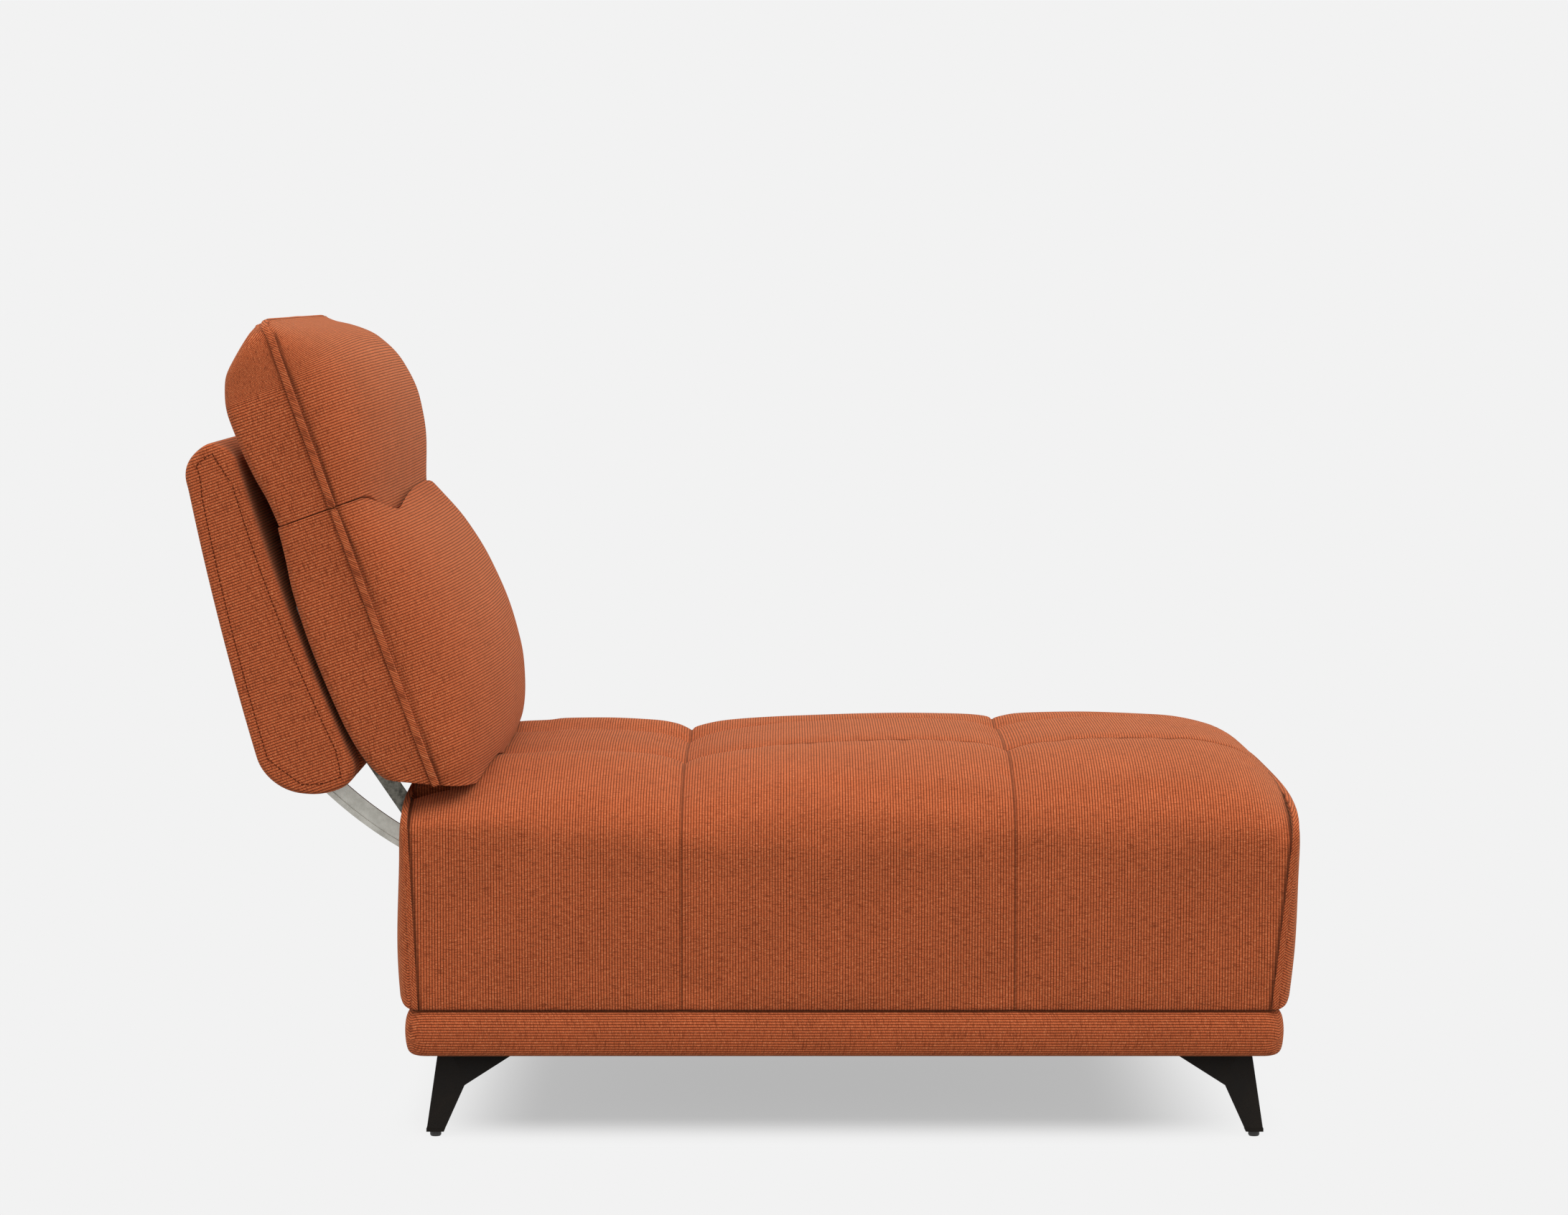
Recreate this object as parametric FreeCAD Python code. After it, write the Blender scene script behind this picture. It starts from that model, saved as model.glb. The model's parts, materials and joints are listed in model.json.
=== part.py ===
"""Armless recliner: a tufted seat block on a plinth and four folded legs, and a back that rides on links.

Millimetres. +X is the front of the seat, +Y the sitter's left, +Z up.
The origin is on the floor, at the middle of the object's box.
"""
import FreeCAD
import Part
import math
import os
from FreeCAD import Vector

# Seat block, outside
SEAT_WIDTH = 700.0
SEAM_BOTTOM = 153.0          # height of the seam between the seat block and the plinth
REAR_SEAM_X = (-378.0, -389.5)    # the rear flange seam, at its foot and at SEAM_REFERENCE
FRONT_SEAM_X = (594.0, 619.5)     # the front flange seam, at its foot and at SEAM_REFERENCE
SEAM_REFERENCE = 380.0
TUFT_SEAM_X = (-78.0, 302.0)      # the two cross seams of the top
TUFT_LINE_Y = 117.0               # the two lengthwise seams of the top, either side of the middle
SHOULDER = 62.0                   # width of the rounded edge along the top
# Each layer of an end border: how far out of its seam, and how far drawn in across and up
BORDER_LAYERS = (
    (0.4, 0.0, 0.0), (7.0, 1.2, 1.2), (11.5, 5.0, 5.0), (14.0, 12.0, 12.0),
    (16.5, 50.0, 50.0), (19.5, 110.0, 72.0), (21.0, 180.0, 85.0),
)
RIM_LAYERS = 4                    # the layers that make the border's rounded edge

# Cross sections of the top: X, how far the sides are drawn in, heights of the side, of the rounded edge,
# of the outer strip, of the lengthwise seam and of the middle, and the rounded edge's width
SECTION_A = (TUFT_SEAM_X[0], 1.5, 371.0, 416.0, 421.0, 409.5, 421.0, SHOULDER)
SECTION_B = (TUFT_SEAM_X[1], 1.5, 373.0, 413.0, 428.0, 422.0, 430.0, SHOULDER)
REAR_FIELD = (
    (REAR_SEAM_X, 0.0, 358.0, 400.0, 403.0, 402.0, 404.0, 42.0),
    (-350.0, 0.0, 366.0, 413.0, 416.0, 413.0, 417.0, 50.0),
    (-290.0, 0.0, 371.0, 423.0, 427.0, 421.0, 428.0, 58.0),
    (-190.0, 0.0, 373.0, 426.0, 429.0, 421.0, 430.0, SHOULDER),
    (-120.0, 0.0, 373.0, 424.0, 427.0, 416.0, 428.0, SHOULDER),
    SECTION_A,
)
MIDDLE_FIELD = (
    SECTION_A,
    (-35.0, 0.0, 374.0, 417.0, 431.0, 427.0, 434.0, SHOULDER),
    (60.0, 0.0, 375.0, 419.0, 436.0, 440.0, 444.0, SHOULDER),
    (190.0, 0.0, 375.0, 419.0, 436.0, 441.0, 445.0, SHOULDER),
    (265.0, 0.0, 375.0, 417.0, 434.0, 436.0, 440.0, SHOULDER),
    SECTION_B,
)
FRONT_FIELD = (
    SECTION_B,
    (345.0, 0.0, 375.0, 416.0, 433.0, 433.0, 438.0, SHOULDER),
    (430.0, 0.0, 374.0, 418.0, 435.0, 441.0, 444.0, SHOULDER),
    (510.0, 0.0, 368.0, 410.0, 428.0, 436.0, 439.0, SHOULDER),
    (575.0, 0.0, 356.0, 395.0, 412.0, 421.0, 423.0, 54.0),
    (FRONT_SEAM_X, 0.0, 338.0, 377.0, 386.0, 391.0, 392.0, 42.0),
)
FIELDS = (REAR_FIELD, MIDDLE_FIELD, FRONT_FIELD)

# Plinth band and base frame
PLINTH_X = (-394.0, 610.0)
PLINTH_BOTTOM = 100.0
PLINTH_TOP = 152.7
PLINTH_THICKNESS = 30.0
PLINTH_CORNER = 24.0
PLINTH_EDGE = 11.0
DUST_COVER = (104.0, 105.5)
RAIL_WIDTH = 48.0

# Seat frame
FRAME_X = (-368.0, 572.0)
FRAME_INNER_Y = 290.0
FRAME_BOARD = 22.0
FRAME_TOP = 347.0
REAR_BOARD_TOP = 264.0            # low enough for the tie tube to swing over
PAD_TOP = 349.7
CROSS_RAIL_X = (-287.0, -257.0)
STRAP = 2.0
STRAP_WIDTH = 60.0
STRAPS_Y = (-195, -65, 65, 195)
STRAPS_X = range(-170, 541, 118)

# Legs
LEG_CORNER_X = (-359.7, 577.5)
LEG_CORNER_Y = 300.0
LEG_SHEET = 4.0
LEG_SPLAY = 13.2             # how far each foot stands out past the top of its leg, along X and along Y
GLIDE_RADIUS = 6.5
GLIDE_HEIGHT = 6.2

# Back, given by its foot, its lean from upright, and lengths up it (u) and out of its front (v)
BACK_FOOT = (-350.7, 410.8)
BACK_LEAN = 19.85
BACK_WIDTH = 700.0
PANEL_WIDTH = 694.0
HEAD_SEAM_U = 338.0
HEAD_AXIS = (344.0, 38.0)
HEAD_ROLL = 38.0             # radius of the headrest's rounded lower edge about its tilt axis
HEAD_TILT = 42               # degrees that the headrest tilts forwards
ROLL_GAP = 0.6

# Levels up the back: u, v of the rear, v of the crown, how far the sides are drawn in, radius of the
# rear edges, and v of the front seam
LUMBAR_LEVELS = (
    (-4.0, -14.0, 62.0, 10.0, 4.0, -5.0),
    (14.0, -46.0, 78.0, 3.0, 12.0, -5.0),
    (50.0, -70.0, 95.0, 0.0, 14.0, -5.0),
    (95.0, -80.0, 107.0, 0.0, 14.0, -5.0),
    (150.0, -84.0, 111.0, 0.0, 14.0, -5.0),
    (205.0, -85.5, 107.5, 0.0, 14.0, -5.0),
    (262.0, -83.0, 96.0, 0.0, 14.0, -5.0),
    (305.0, -77.0, 79.0, 0.0, 14.0, -5.0),
    (352.0, -72.0, 58.0, 0.0, 14.0, -5.0),
)
HEAD_LEVELS = (
    (300.0, -72.0, 61.0, 0.0, 14.0, -5.0),
    (340.0, -73.0, 68.0, 0.0, 14.0, -5.0),
    (368.0, -80.0, 82.0, 0.0, 14.0, -5.0),
    (403.0, -88.0, 91.0, 0.0, 14.0, -5.0),
    (436.0, -89.0, 94.0, 0.5, 14.0, -5.0),
    (474.0, -86.5, 88.0, 2.0, 14.0, -5.0),
    (519.0, -74.0, 67.0, 6.0, 14.0, -5.0),
    (544.0, -54.0, 38.0, 11.0, 12.0, -5.0),
    (559.0, -33.0, 7.0, 22.0, 6.0, -8.0),
    (567.0, -31.0, -14.0, 62.0, 3.0, -20.0),
)

# Linkage pivots (X, Z) in the lounge position
LOWER_FOOT = (-354.6, 318.5)
LOWER_HEAD = (-531.7, 460.5)
UPPER_FOOT = (-326.7, 362.7)
UPPER_HEAD = (-510.0, 543.3)
UPPER_ELBOW = (-386.0, 360.7)
LOWER_SAG = 14.0             # how far the lower link's arc bows below the line between its pivots
TIE = (-323.4, 293.5)
LOWER_WIDTH = 23.0
UPPER_WIDTH = 19.0

# Back frame, by u and v
TUBE_UV = ((228.0, -123.0), (352.0, -123.0))
TUBE_RADIUS = 11.0
TUBE_WALL = 1.5
STILE_U = (36.0, 300.0)
STILE_V = (-34.0, -6.0)
STILE_BOLTS = ((214.0, -20.0), (240.0, -20.0))
PANEL_BOARD_U = (200.0, 384.0)
PANEL_BOARD_V = (-146.0, -134.0)
HEAD_BOARD_U = (404.0, 522.0)
HEAD_BOARD_V = (-12.0, 0.0)
HEAD_BOARD_HALF = 260.0
ARM_ROOT = (284.0, -8.0)
ARM_TOP = (446.0, 10.0)

# Layers of the linkage and the ratchet hinges, as distances from the middle plane
LOWER_ARM = (114.0, 119.0)
UPPER_ARM = (119.6, 124.6)
HINGE_LAYER = (100.0, 140.0)
UPPER_LAYER = (259.9, 264.9)
PLATE_LAYER = (266.5, 271.0)
LOWER_LAYER = (272.6, 278.1)
SLOT_LAYER = (252.0, 287.0)
STILE_LAYER = (238.0, PLATE_LAYER[0])
PIN_RADIUS = 5.0
RATCHET_PIN = 4.0
RUNNING = 0.05               # radial clearance of a pin in a moving bore
OPEN_PIVOT = 0.75            # radial clearance of the upper links' upper bores
WASHER = 1.0
BRACKET_BOLT = 4.0           # radii of the bolts
STILE_BOLT = 3.5
BOLT_LAYER = (250.0, 330.0)
BORE_LAYER = (250.0, 290.0)

SIN = math.sin(math.radians(BACK_LEAN))
COS = math.cos(math.radians(BACK_LEAN))
TURN = math.sin(math.radians(45))
HALF = SEAT_WIDTH / 2
LEFT = 1
RIGHT = -1
SIDES = (("left", LEFT), ("right", RIGHT))


# Basic shapes

def box(x, y, z):
    """A block between pairs of X, Y and Z."""
    return Part.makeBox(x[1] - x[0], y[1] - y[0], z[1] - z[0], Vector(x[0], y[0], z[0]))


def side_range(side, layer):
    """The Y range of a layer, given as distances from the middle plane, on one side."""
    return layer if side == LEFT else (-layer[1], -layer[0])


def side_box(side, x, layer, z):
    return box(x, side_range(side, layer), z)


def rod(side, point, radius, layer):
    """A round bar along Y through (X, Z)."""
    low, high = side_range(side, layer)
    return Part.makeCylinder(radius, high - low, Vector(point[0], low, point[1]), Vector(0, 1, 0))


def plate(side, points, layer):
    """A flat polygon in the XZ plane, as thick as its layer."""
    low, high = side_range(side, layer)
    corners = [Vector(x, low, z) for x, z in points]
    return Part.Face(Part.makePolygon(corners + corners[:1])).extrude(Vector(0, high - low, 0))


def strap(side, points, width, layer):
    """A flat bar through the points, round at its ends and bends."""
    pieces = [rod(side, point, width / 2, layer) for point in points]
    for (x0, z0), (x1, z1) in zip(points, points[1:]):
        length = math.hypot(x1 - x0, z1 - z0)
        nx, nz = (z1 - z0) / length * width / 2, (x0 - x1) / length * width / 2
        flat = [(x0 + nx, z0 + nz), (x1 + nx, z1 + nz), (x1 - nx, z1 - nz), (x0 - nx, z0 - nz)]
        pieces.append(plate(side, flat, layer))
    return joined(pieces)


def joined(shapes):
    """One solid from touching shapes."""
    first, rest = shapes[0], shapes[1:]
    return first.fuse(rest).removeSplitter() if rest else first


def without(shape, *tools):
    for tool in tools:
        shape = shape.cut(tool)
    return shape


def bow(start, middle, end):
    return Part.Arc(start, middle, end).toShape()


def line(start, end):
    return Part.LineSegment(start, end).toShape()


def on_back(u, v):
    """(X, Z) of a place on the back, u up it and v out of its front."""
    return (BACK_FOOT[0] - u * SIN + v * COS, BACK_FOOT[1] + u * COS + v * SIN)


def back_point(u, v, y):
    x, z = on_back(u, v)
    return Vector(x, y, z)


def back_block(side, u, v, layer):
    """A block square to the back, between pairs of u and v, as thick as its layer."""
    corners = [on_back(u[i], v[j]) for i, j in ((0, 0), (1, 0), (1, 1), (0, 1))]
    return plate(side, corners, layer)


def back_slab(u, v, half):
    """The same, right across the back."""
    return back_block(LEFT, u, v, (-half, half))


# Seat block

def on_seam(x_pair, y, z):
    """A place on a plane that leans as the end seams do, given by its X at the foot and at SEAM_REFERENCE."""
    share = (z - SEAM_BOTTOM) / (SEAM_REFERENCE - SEAM_BOTTOM)
    return Vector(x_pair[0] + share * (x_pair[1] - x_pair[0]), y, z)


def seat_outline(section, grow):
    """One cross section of the seat block: plain sides, rounded shoulders and three crowned strips."""
    x, drawn_in, *heights, shoulder = section
    z_side, z_shoulder, z_strip, z_line, z_middle = [height + grow for height in heights]
    half = HALF - drawn_in + grow
    corner = half - shoulder
    strip_middle = (corner + TUFT_LINE_Y) / 2

    def place(y, z):
        return on_seam(x if isinstance(x, tuple) else (x, x), y, z)

    def half_top(side):
        bend = place(side * (corner + shoulder * TURN), z_side + (z_shoulder - z_side) * TURN)
        edge_arc = (place(side * half, z_side), bend, place(side * corner, z_shoulder))
        strip_arc = (place(side * corner, z_shoulder), place(side * strip_middle, z_strip),
                     place(side * TUFT_LINE_Y, z_line))
        return edge_arc, strip_arc

    left, right = half_top(LEFT), half_top(RIGHT)
    return Part.Wire([
        line(place(-half, SEAM_BOTTOM), place(half, SEAM_BOTTOM)),
        line(place(half, SEAM_BOTTOM), place(half, z_side)),
        bow(*left[0]),
        bow(*left[1]),
        bow(place(TUFT_LINE_Y, z_line), place(0, z_middle), place(-TUFT_LINE_Y, z_line)),
        bow(*reversed(right[1])),
        bow(*reversed(right[0])),
        line(place(-half, z_side), place(-half, SEAM_BOTTOM)),
    ])


def seat_block(grow=0.0):
    """The whole upholstered block, as three lofted fields that meet in creases at the cross seams."""
    fields = []
    for field in FIELDS:
        fields.append(Part.makeLoft([seat_outline(section, grow) for section in field], True, False))
    return fields[0].fuse(fields[1:])


def side_pad(side, inner, z):
    """The upright padding over one side of the frame, drawn in at the cross seams like the block above it."""
    def outline(x, outer):
        x_pair = x if isinstance(x, tuple) else (x, x)
        corners = [on_seam(x_pair, side * y, height) for y, height in
                   ((inner, z[0]), (outer, z[0]), (outer, z[1]), (inner, z[1]))]
        return Part.makePolygon(corners + corners[:1])

    fields = [Part.makeLoft([outline(section[0], HALF - section[1]) for section in field], True, False)
              for field in FIELDS]
    return fields[0].fuse(fields[1:])


def end_pad(x_frame, seam_x, half, z):
    """The upright padding between one end of the frame and the sloping end seam."""
    corners = [Vector(x_frame, -half, z[0]), on_seam(seam_x, -half, z[0]), on_seam(seam_x, -half, z[1]),
               Vector(x_frame, -half, z[1])]
    return Part.Face(Part.makePolygon(corners + corners[:1])).extrude(Vector(0, 2 * half, 0))


def border_outline(x_pair, half, z_low, z_side, z_top, shoulder):
    """One layer of an end border: plain sides, rounded upper corners and a slightly crowned top."""
    def place(y, z):
        return on_seam(x_pair, y, z)

    corner = half - shoulder
    z_corner = z_top - 2.0
    z_bend = z_side + (z_corner - z_side) * TURN
    bend = corner + shoulder * TURN
    return Part.Wire([
        line(place(-half, z_low), place(half, z_low)),
        line(place(half, z_low), place(half, z_side)),
        bow(place(half, z_side), place(bend, z_bend), place(corner, z_corner)),
        bow(place(corner, z_corner), place(0, z_top), place(-corner, z_corner)),
        bow(place(-corner, z_corner), place(-bend, z_bend), place(-half, z_side)),
        line(place(-half, z_side), place(-half, z_low)),
    ])


def end_border(seam_x, z_side, z_top, shoulder, outward):
    """A padded end panel: flat where it is sewn on, with rounded edges and a crowned face."""
    wires = []
    for out, across, up in BORDER_LAYERS:
        x_pair = (seam_x[0] + outward * out, seam_x[1] + outward * out)
        half = HALF - 0.5 - across
        low = SEAM_BOTTOM + 0.3 + 0.6 * up
        wires.append(border_outline(x_pair, half, low, z_side - up, z_top - up, shoulder - 0.2 * up))
    edge = Part.makeLoft(wires[:RIM_LAYERS], True, False)
    face = Part.makeLoft(wires[RIM_LAYERS - 1:], True, True)
    return edge.fuse(face)


def link_slots():
    """Room for the links and their brackets at the rear of the seat, open at the back and at the top."""
    rooms = []
    plate_room = (PLATE_LAYER[0] - 0.5, PLATE_LAYER[1] + 0.5)
    for _, side in SIDES:
        rooms.append(side_box(side, (-430.0, -345.0), SLOT_LAYER, (304.0, 460.0)))
        rooms.append(side_box(side, (-346.0, -303.0), SLOT_LAYER, (304.0, 395.0)))
        rooms.append(side_box(side, (-304.0, -215.0), plate_room, (304.0, 376.0)))
    return rooms


def seat_upholstery():
    slots = link_slots()
    top = seat_block().common(box((-450, 700), (-400, 400), (PAD_TOP, 500)))
    inner = FRAME_INNER_Y + FRAME_BOARD + 0.6
    end_half = inner - 0.3
    foam_pocket = box((-280.5, 560.5), (-285.5, 285.5), (PAD_TOP - 1.0, 395.5))
    low = (SEAM_BOTTOM + 0.6, PAD_TOP - 0.3)
    return {
        "seat_cushion": without(top, foam_pocket, *slots),
        "seat_foam": without(box((-280, 560), (-285, 285), (351.0, 395.0)), *slots),
        "side_pad_left": side_pad(LEFT, inner, low),
        "side_pad_right": side_pad(RIGHT, inner, low),
        "front_pad": end_pad(FRAME_X[1] + 0.4, FRONT_SEAM_X, end_half, low),
        "rear_pad": without(end_pad(FRAME_X[0] - 0.4, REAR_SEAM_X, end_half, low), *slots),
        "front_border": end_border(FRONT_SEAM_X, 338.0, 382.0, 42.0, 1),
        "rear_border": without(end_border(REAR_SEAM_X, 358.0, 397.0, 38.0, -1), *slots),
    }


# Seat frame, webbing and base

def seat_frame():
    x0, x1 = FRAME_X
    inner, outer = FRAME_INNER_Y, FRAME_INNER_Y + FRAME_BOARD
    floor = SEAM_BOTTOM + 0.6
    bolt_holes = [rod(side, point, BRACKET_BOLT, BOLT_LAYER) for _, side in SIDES for point in BRACKET_BOLTS]
    parts = {}
    for name, side in SIDES:
        board = side_box(side, (x0, x1), (inner, outer), (floor, FRAME_TOP))
        parts["frame_side_" + name] = without(board, *bolt_holes)
    low_top = FRAME_TOP - STRAP
    parts["frame_front"] = box((x1 - FRAME_BOARD, x1), (-inner, inner), (floor, low_top))
    parts["frame_rear"] = box((x0, x0 + FRAME_BOARD), (-inner, inner), (floor, REAR_BOARD_TOP))
    parts["frame_cross_rail"] = box(CROSS_RAIL_X, (-PLATE_LAYER[0], PLATE_LAYER[0]), (300.0, low_top))
    bumper = [side_box(side, (-316.4, CROSS_RAIL_X[0]), (150, 190), (299.8, 316.0)) for _, side in SIDES]
    parts["stop_bumpers"] = Part.makeCompound(bumper)
    half = STRAP_WIDTH / 2
    lengthwise = [box((CROSS_RAIL_X[0], x1), (y - half, y + half), (low_top, FRAME_TOP)) for y in STRAPS_Y]
    crosswise = [box((x - half, x + half), (-outer, outer), (FRAME_TOP, FRAME_TOP + STRAP)) for x in STRAPS_X]
    parts["webbing_lengthwise"] = Part.makeCompound(lengthwise)
    parts["webbing_crosswise"] = Part.makeCompound(crosswise)
    return parts


def plinth():
    """The padded band, as two long and two short pieces with rounded lower edges and corners."""
    x0, x1 = PLINTH_X
    depth = PLINTH_THICKNESS
    parts = {}
    for name, side in SIDES:
        piece = side_box(side, (x0 + depth, x1 - depth), (HALF - depth, HALF), (PLINTH_BOTTOM, PLINTH_TOP))
        parts["plinth_" + name] = rounded(piece, lambda e: on_plane(e, "y", side * HALF))
    for name, outer, inner in (("rear", x0, x0 + depth), ("front", x1, x1 - depth)):
        piece = box((min(outer, inner), max(outer, inner)), (-HALF, HALF), (PLINTH_BOTTOM, PLINTH_TOP))
        upright = [e for e in piece.Edges if is_upright(e) and on_plane(e, "x", outer)]
        piece = piece.makeFillet(PLINTH_CORNER, upright)
        parts["plinth_" + name] = rounded(piece, lambda e: not on_plane(e, "x", inner) and not is_upright(e))
    return parts


def on_plane(edge, axis, value):
    return all(abs(getattr(vertex.Point, axis) - value) < 0.01 for vertex in edge.Vertexes)


def is_upright(edge):
    low, high = edge.Vertexes[0].Point, edge.Vertexes[-1].Point
    return abs(low.x - high.x) < 0.01 and abs(low.y - high.y) < 0.01


def rounded(piece, wanted):
    """The piece with its lower outer edges rounded by the full radius and its upper ones a little."""
    for z, radius in ((PLINTH_BOTTOM, PLINTH_EDGE), (PLINTH_TOP, 5.0)):
        edges = [e for e in piece.Edges if on_plane(e, "z", z) and wanted(e)]
        piece = piece.makeFillet(radius, edges)
    return piece


def base_frame():
    x0, x1 = LEG_CORNER_X[0] - 3.3, LEG_CORNER_X[1] + 1.5
    half = HALF - PLINTH_THICKNESS - 1.0
    z = (DUST_COVER[1], SEAM_BOTTOM + 0.3)
    inner = half - RAIL_WIDTH
    rails = [
        box((x0, x1), (inner, half), z),
        box((x0, x1), (-half, -inner), z),
        box((x0, x0 + RAIL_WIDTH), (-inner, inner), z),
        box((x1 - RAIL_WIDTH, x1), (-inner, inner), z),
    ]
    holes = leg_screw_shafts(3.0, 96.0, 145.0)
    rails = [without(rail, *holes) for rail in rails]
    block_x = ((x0 + RAIL_WIDTH, x0 + RAIL_WIDTH + 60), (x1 - RAIL_WIDTH - 60, x1 - RAIL_WIDTH))
    blocks = [side_box(side, x, (inner - 60, inner), z) for _, side in SIDES for x in block_x]
    cover = box((x0, x1), (-half, half), DUST_COVER)
    return {
        "base_rails": Part.makeCompound(rails),
        "corner_blocks": Part.makeCompound(blocks),
        "dust_cover": without(cover, *leg_screw_shafts(3.0, 96.0, 110.0)),
    }


# Legs

LEGS = (("rear_left", 0, LEFT), ("rear_right", 0, RIGHT), ("front_left", 1, LEFT), ("front_right", 1, RIGHT))
LEG_SCREWS = ((25.0, 25.0), (74.0, 24.0), (24.0, 74.0))


def leg_place(end, side):
    """Turns places on a leg, a and b inwards from its outer corner along X and Y, into the frame."""
    inward = 1 if end == 0 else -1

    def place(a, b, z):
        return Vector(LEG_CORNER_X[end] + inward * a, side * (LEG_CORNER_Y - b), z)

    return place


def leg(end, side):
    """Sheet steel folded at the outer corner: two tapering blades, each with a wing bent inwards."""
    place = leg_place(end, side)
    top = PLINTH_BOTTOM
    foot = GLIDE_HEIGHT
    knee_z = 59.0
    knee_splay = LEG_SPLAY * (top - knee_z) / (top - foot)
    corner, ankle = (0.0, 0.0, top), (-LEG_SPLAY, -LEG_SPLAY, foot)
    crease, knee, toe = (14.1, 0.0, top), (30.6, -knee_splay, knee_z), (6.7, -LEG_SPLAY, foot)
    tip = (98.3, 12.0, top)
    facets = ((corner, crease, knee, toe, ankle), (crease, tip, knee))
    pieces = []
    for swap in (False, True):
        for facet in facets:
            corners = [place(b, a, z) if swap else place(a, b, z) for a, b, z in facet]
            inside = place(LEG_SHEET, 0, 0) if swap else place(0, LEG_SHEET, 0)
            face = Part.Face(Part.makePolygon(corners + corners[:1]))
            pieces.append(face.extrude(inside - place(0, 0, 0)))
    outline = ((0, 0), (14, 0), (98, 12), (98, 32), (32, 98), (12, 98), (0, 14))
    corners = [place(a, b, top - 0.01) for a, b in outline]
    pieces.append(Part.Face(Part.makePolygon(corners + corners[:1])).extrude(Vector(0, 0, 3.9)))
    shoe = [place(a, b, foot) for a, b in ((-13.2, -13.2), (7.0, -13.2), (7.0, 7.0), (-13.2, 7.0))]
    pieces.append(Part.Face(Part.makePolygon(shoe + shoe[:1])).extrude(Vector(0, 0, 4.0)))
    return without(joined(pieces), *leg_screw_shafts(3.0, 96.0, 110.0))


def leg_screw_shafts(radius, low, high):
    shafts = []
    for _, end, side in LEGS:
        for a, b in LEG_SCREWS:
            spot = leg_place(end, side)(a, b, low)
            shafts.append(Part.makeCylinder(radius, high - low, spot))
    return shafts


def legs():
    parts = {"leg_" + name: leg(end, side) for name, end, side in LEGS}
    glides = []
    for _, end, side in LEGS:
        spot = leg_place(end, side)(-3.2, -3.2, 0.0)
        glides.append(Part.makeCone(GLIDE_RADIUS - 1.0, GLIDE_RADIUS, 1.5, spot).fuse(
            Part.makeCylinder(GLIDE_RADIUS, GLIDE_HEIGHT - 1.5, spot + Vector(0, 0, 1.5))).removeSplitter())
    parts["leg_glides"] = Part.makeCompound(glides)
    heads = leg_screw_shafts(6.0, PLINTH_BOTTOM - 3.5, PLINTH_BOTTOM - 0.01)
    shafts = leg_screw_shafts(3.0, PLINTH_BOTTOM - 1.0, 140.0)
    parts["leg_screws"] = Part.makeCompound([joined([head, shaft]) for head, shaft in zip(heads, shafts)])
    return parts


# Linkage between seat and back

BRACKET_BOLTS = ((-242.0, 330.0), (-220.0, 330.0))


def base_bracket(side):
    """A plate that carries both lower pivots, bolted through a spacer to the seat frame."""
    web = joined([
        strap(side, (LOWER_FOOT, UPPER_FOOT), 30.0, PLATE_LAYER),
        strap(side, (UPPER_FOOT, (-232.0, 332.0)), 26.0, PLATE_LAYER),
        strap(side, (LOWER_FOOT, (-232.0, 326.0)), 20.0, PLATE_LAYER),
    ])
    holes = [rod(side, point, PIN_RADIUS, BORE_LAYER) for point in (LOWER_FOOT, UPPER_FOOT)]
    holes += [rod(side, point, BRACKET_BOLT, BORE_LAYER) for point in BRACKET_BOLTS]
    return without(web, *holes)


def lower_link(side):
    """The curved link: an arc bowed downwards between its pivots, with a tail for the tie tube."""
    (x0, z0), (x1, z1) = LOWER_FOOT, LOWER_HEAD
    chord = math.hypot(x1 - x0, z1 - z0)
    radius = ((chord / 2) ** 2 + LOWER_SAG ** 2) / (2 * LOWER_SAG)
    down_x, down_z = (z0 - z1) / chord, (x1 - x0) / chord
    centre = ((x0 + x1) / 2 - down_x * (radius - LOWER_SAG), (z0 + z1) / 2 - down_z * (radius - LOWER_SAG))
    spread = math.asin(chord / 2 / radius)

    def on_arc(r, share):
        turn = share * spread
        mid = math.atan2(down_z, down_x)
        return Vector(centre[0] + r * math.cos(mid + turn), 0, centre[1] + r * math.sin(mid + turn))

    def ribbon(inner, outer, layer):
        low, high = side_range(side, layer)
        face = Part.Face(Part.Wire([
            bow(on_arc(inner, -1), on_arc(inner, 0), on_arc(inner, 1)),
            line(on_arc(inner, 1), on_arc(outer, 1)),
            bow(on_arc(outer, 1), on_arc(outer, 0), on_arc(outer, -1)),
            line(on_arc(outer, -1), on_arc(inner, -1)),
        ]))
        face.translate(Vector(0, low, 0))
        return face.extrude(Vector(0, high - low, 0))

    half = LOWER_WIDTH / 2
    lip = (LOWER_LAYER[0], LOWER_LAYER[1] + 2.0)
    body = joined([
        ribbon(radius - half, radius + half, LOWER_LAYER),
        ribbon(radius + half - 6.0, radius + half, lip),
        rod(side, LOWER_FOOT, 14.0, LOWER_LAYER),
        rod(side, LOWER_HEAD, 14.0, LOWER_LAYER),
        strap(side, (LOWER_FOOT, TIE), 20.0, LOWER_LAYER),
    ])
    seat_layer = (LOWER_LAYER[1], LOWER_LAYER[1] + 5)
    for point in (LOWER_FOOT, LOWER_HEAD):
        head_seat = rod(side, point, 10.0, seat_layer)
        body = without(body, head_seat, rod(side, point, PIN_RADIUS + RUNNING, BORE_LAYER))
    return body


def upper_link(side):
    """The straight link with an elbow where it enters the seat."""
    body = joined([
        strap(side, (UPPER_HEAD, UPPER_ELBOW, UPPER_FOOT), UPPER_WIDTH, UPPER_LAYER),
        rod(side, UPPER_FOOT, 12.0, UPPER_LAYER),
        rod(side, UPPER_HEAD, 12.0, UPPER_LAYER),
    ])
    foot_bore = rod(side, UPPER_FOOT, PIN_RADIUS + RUNNING, BORE_LAYER)
    head_bore = rod(side, UPPER_HEAD, PIN_RADIUS + OPEN_PIVOT, BORE_LAYER)
    return without(body, foot_bore, head_bore)


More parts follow.
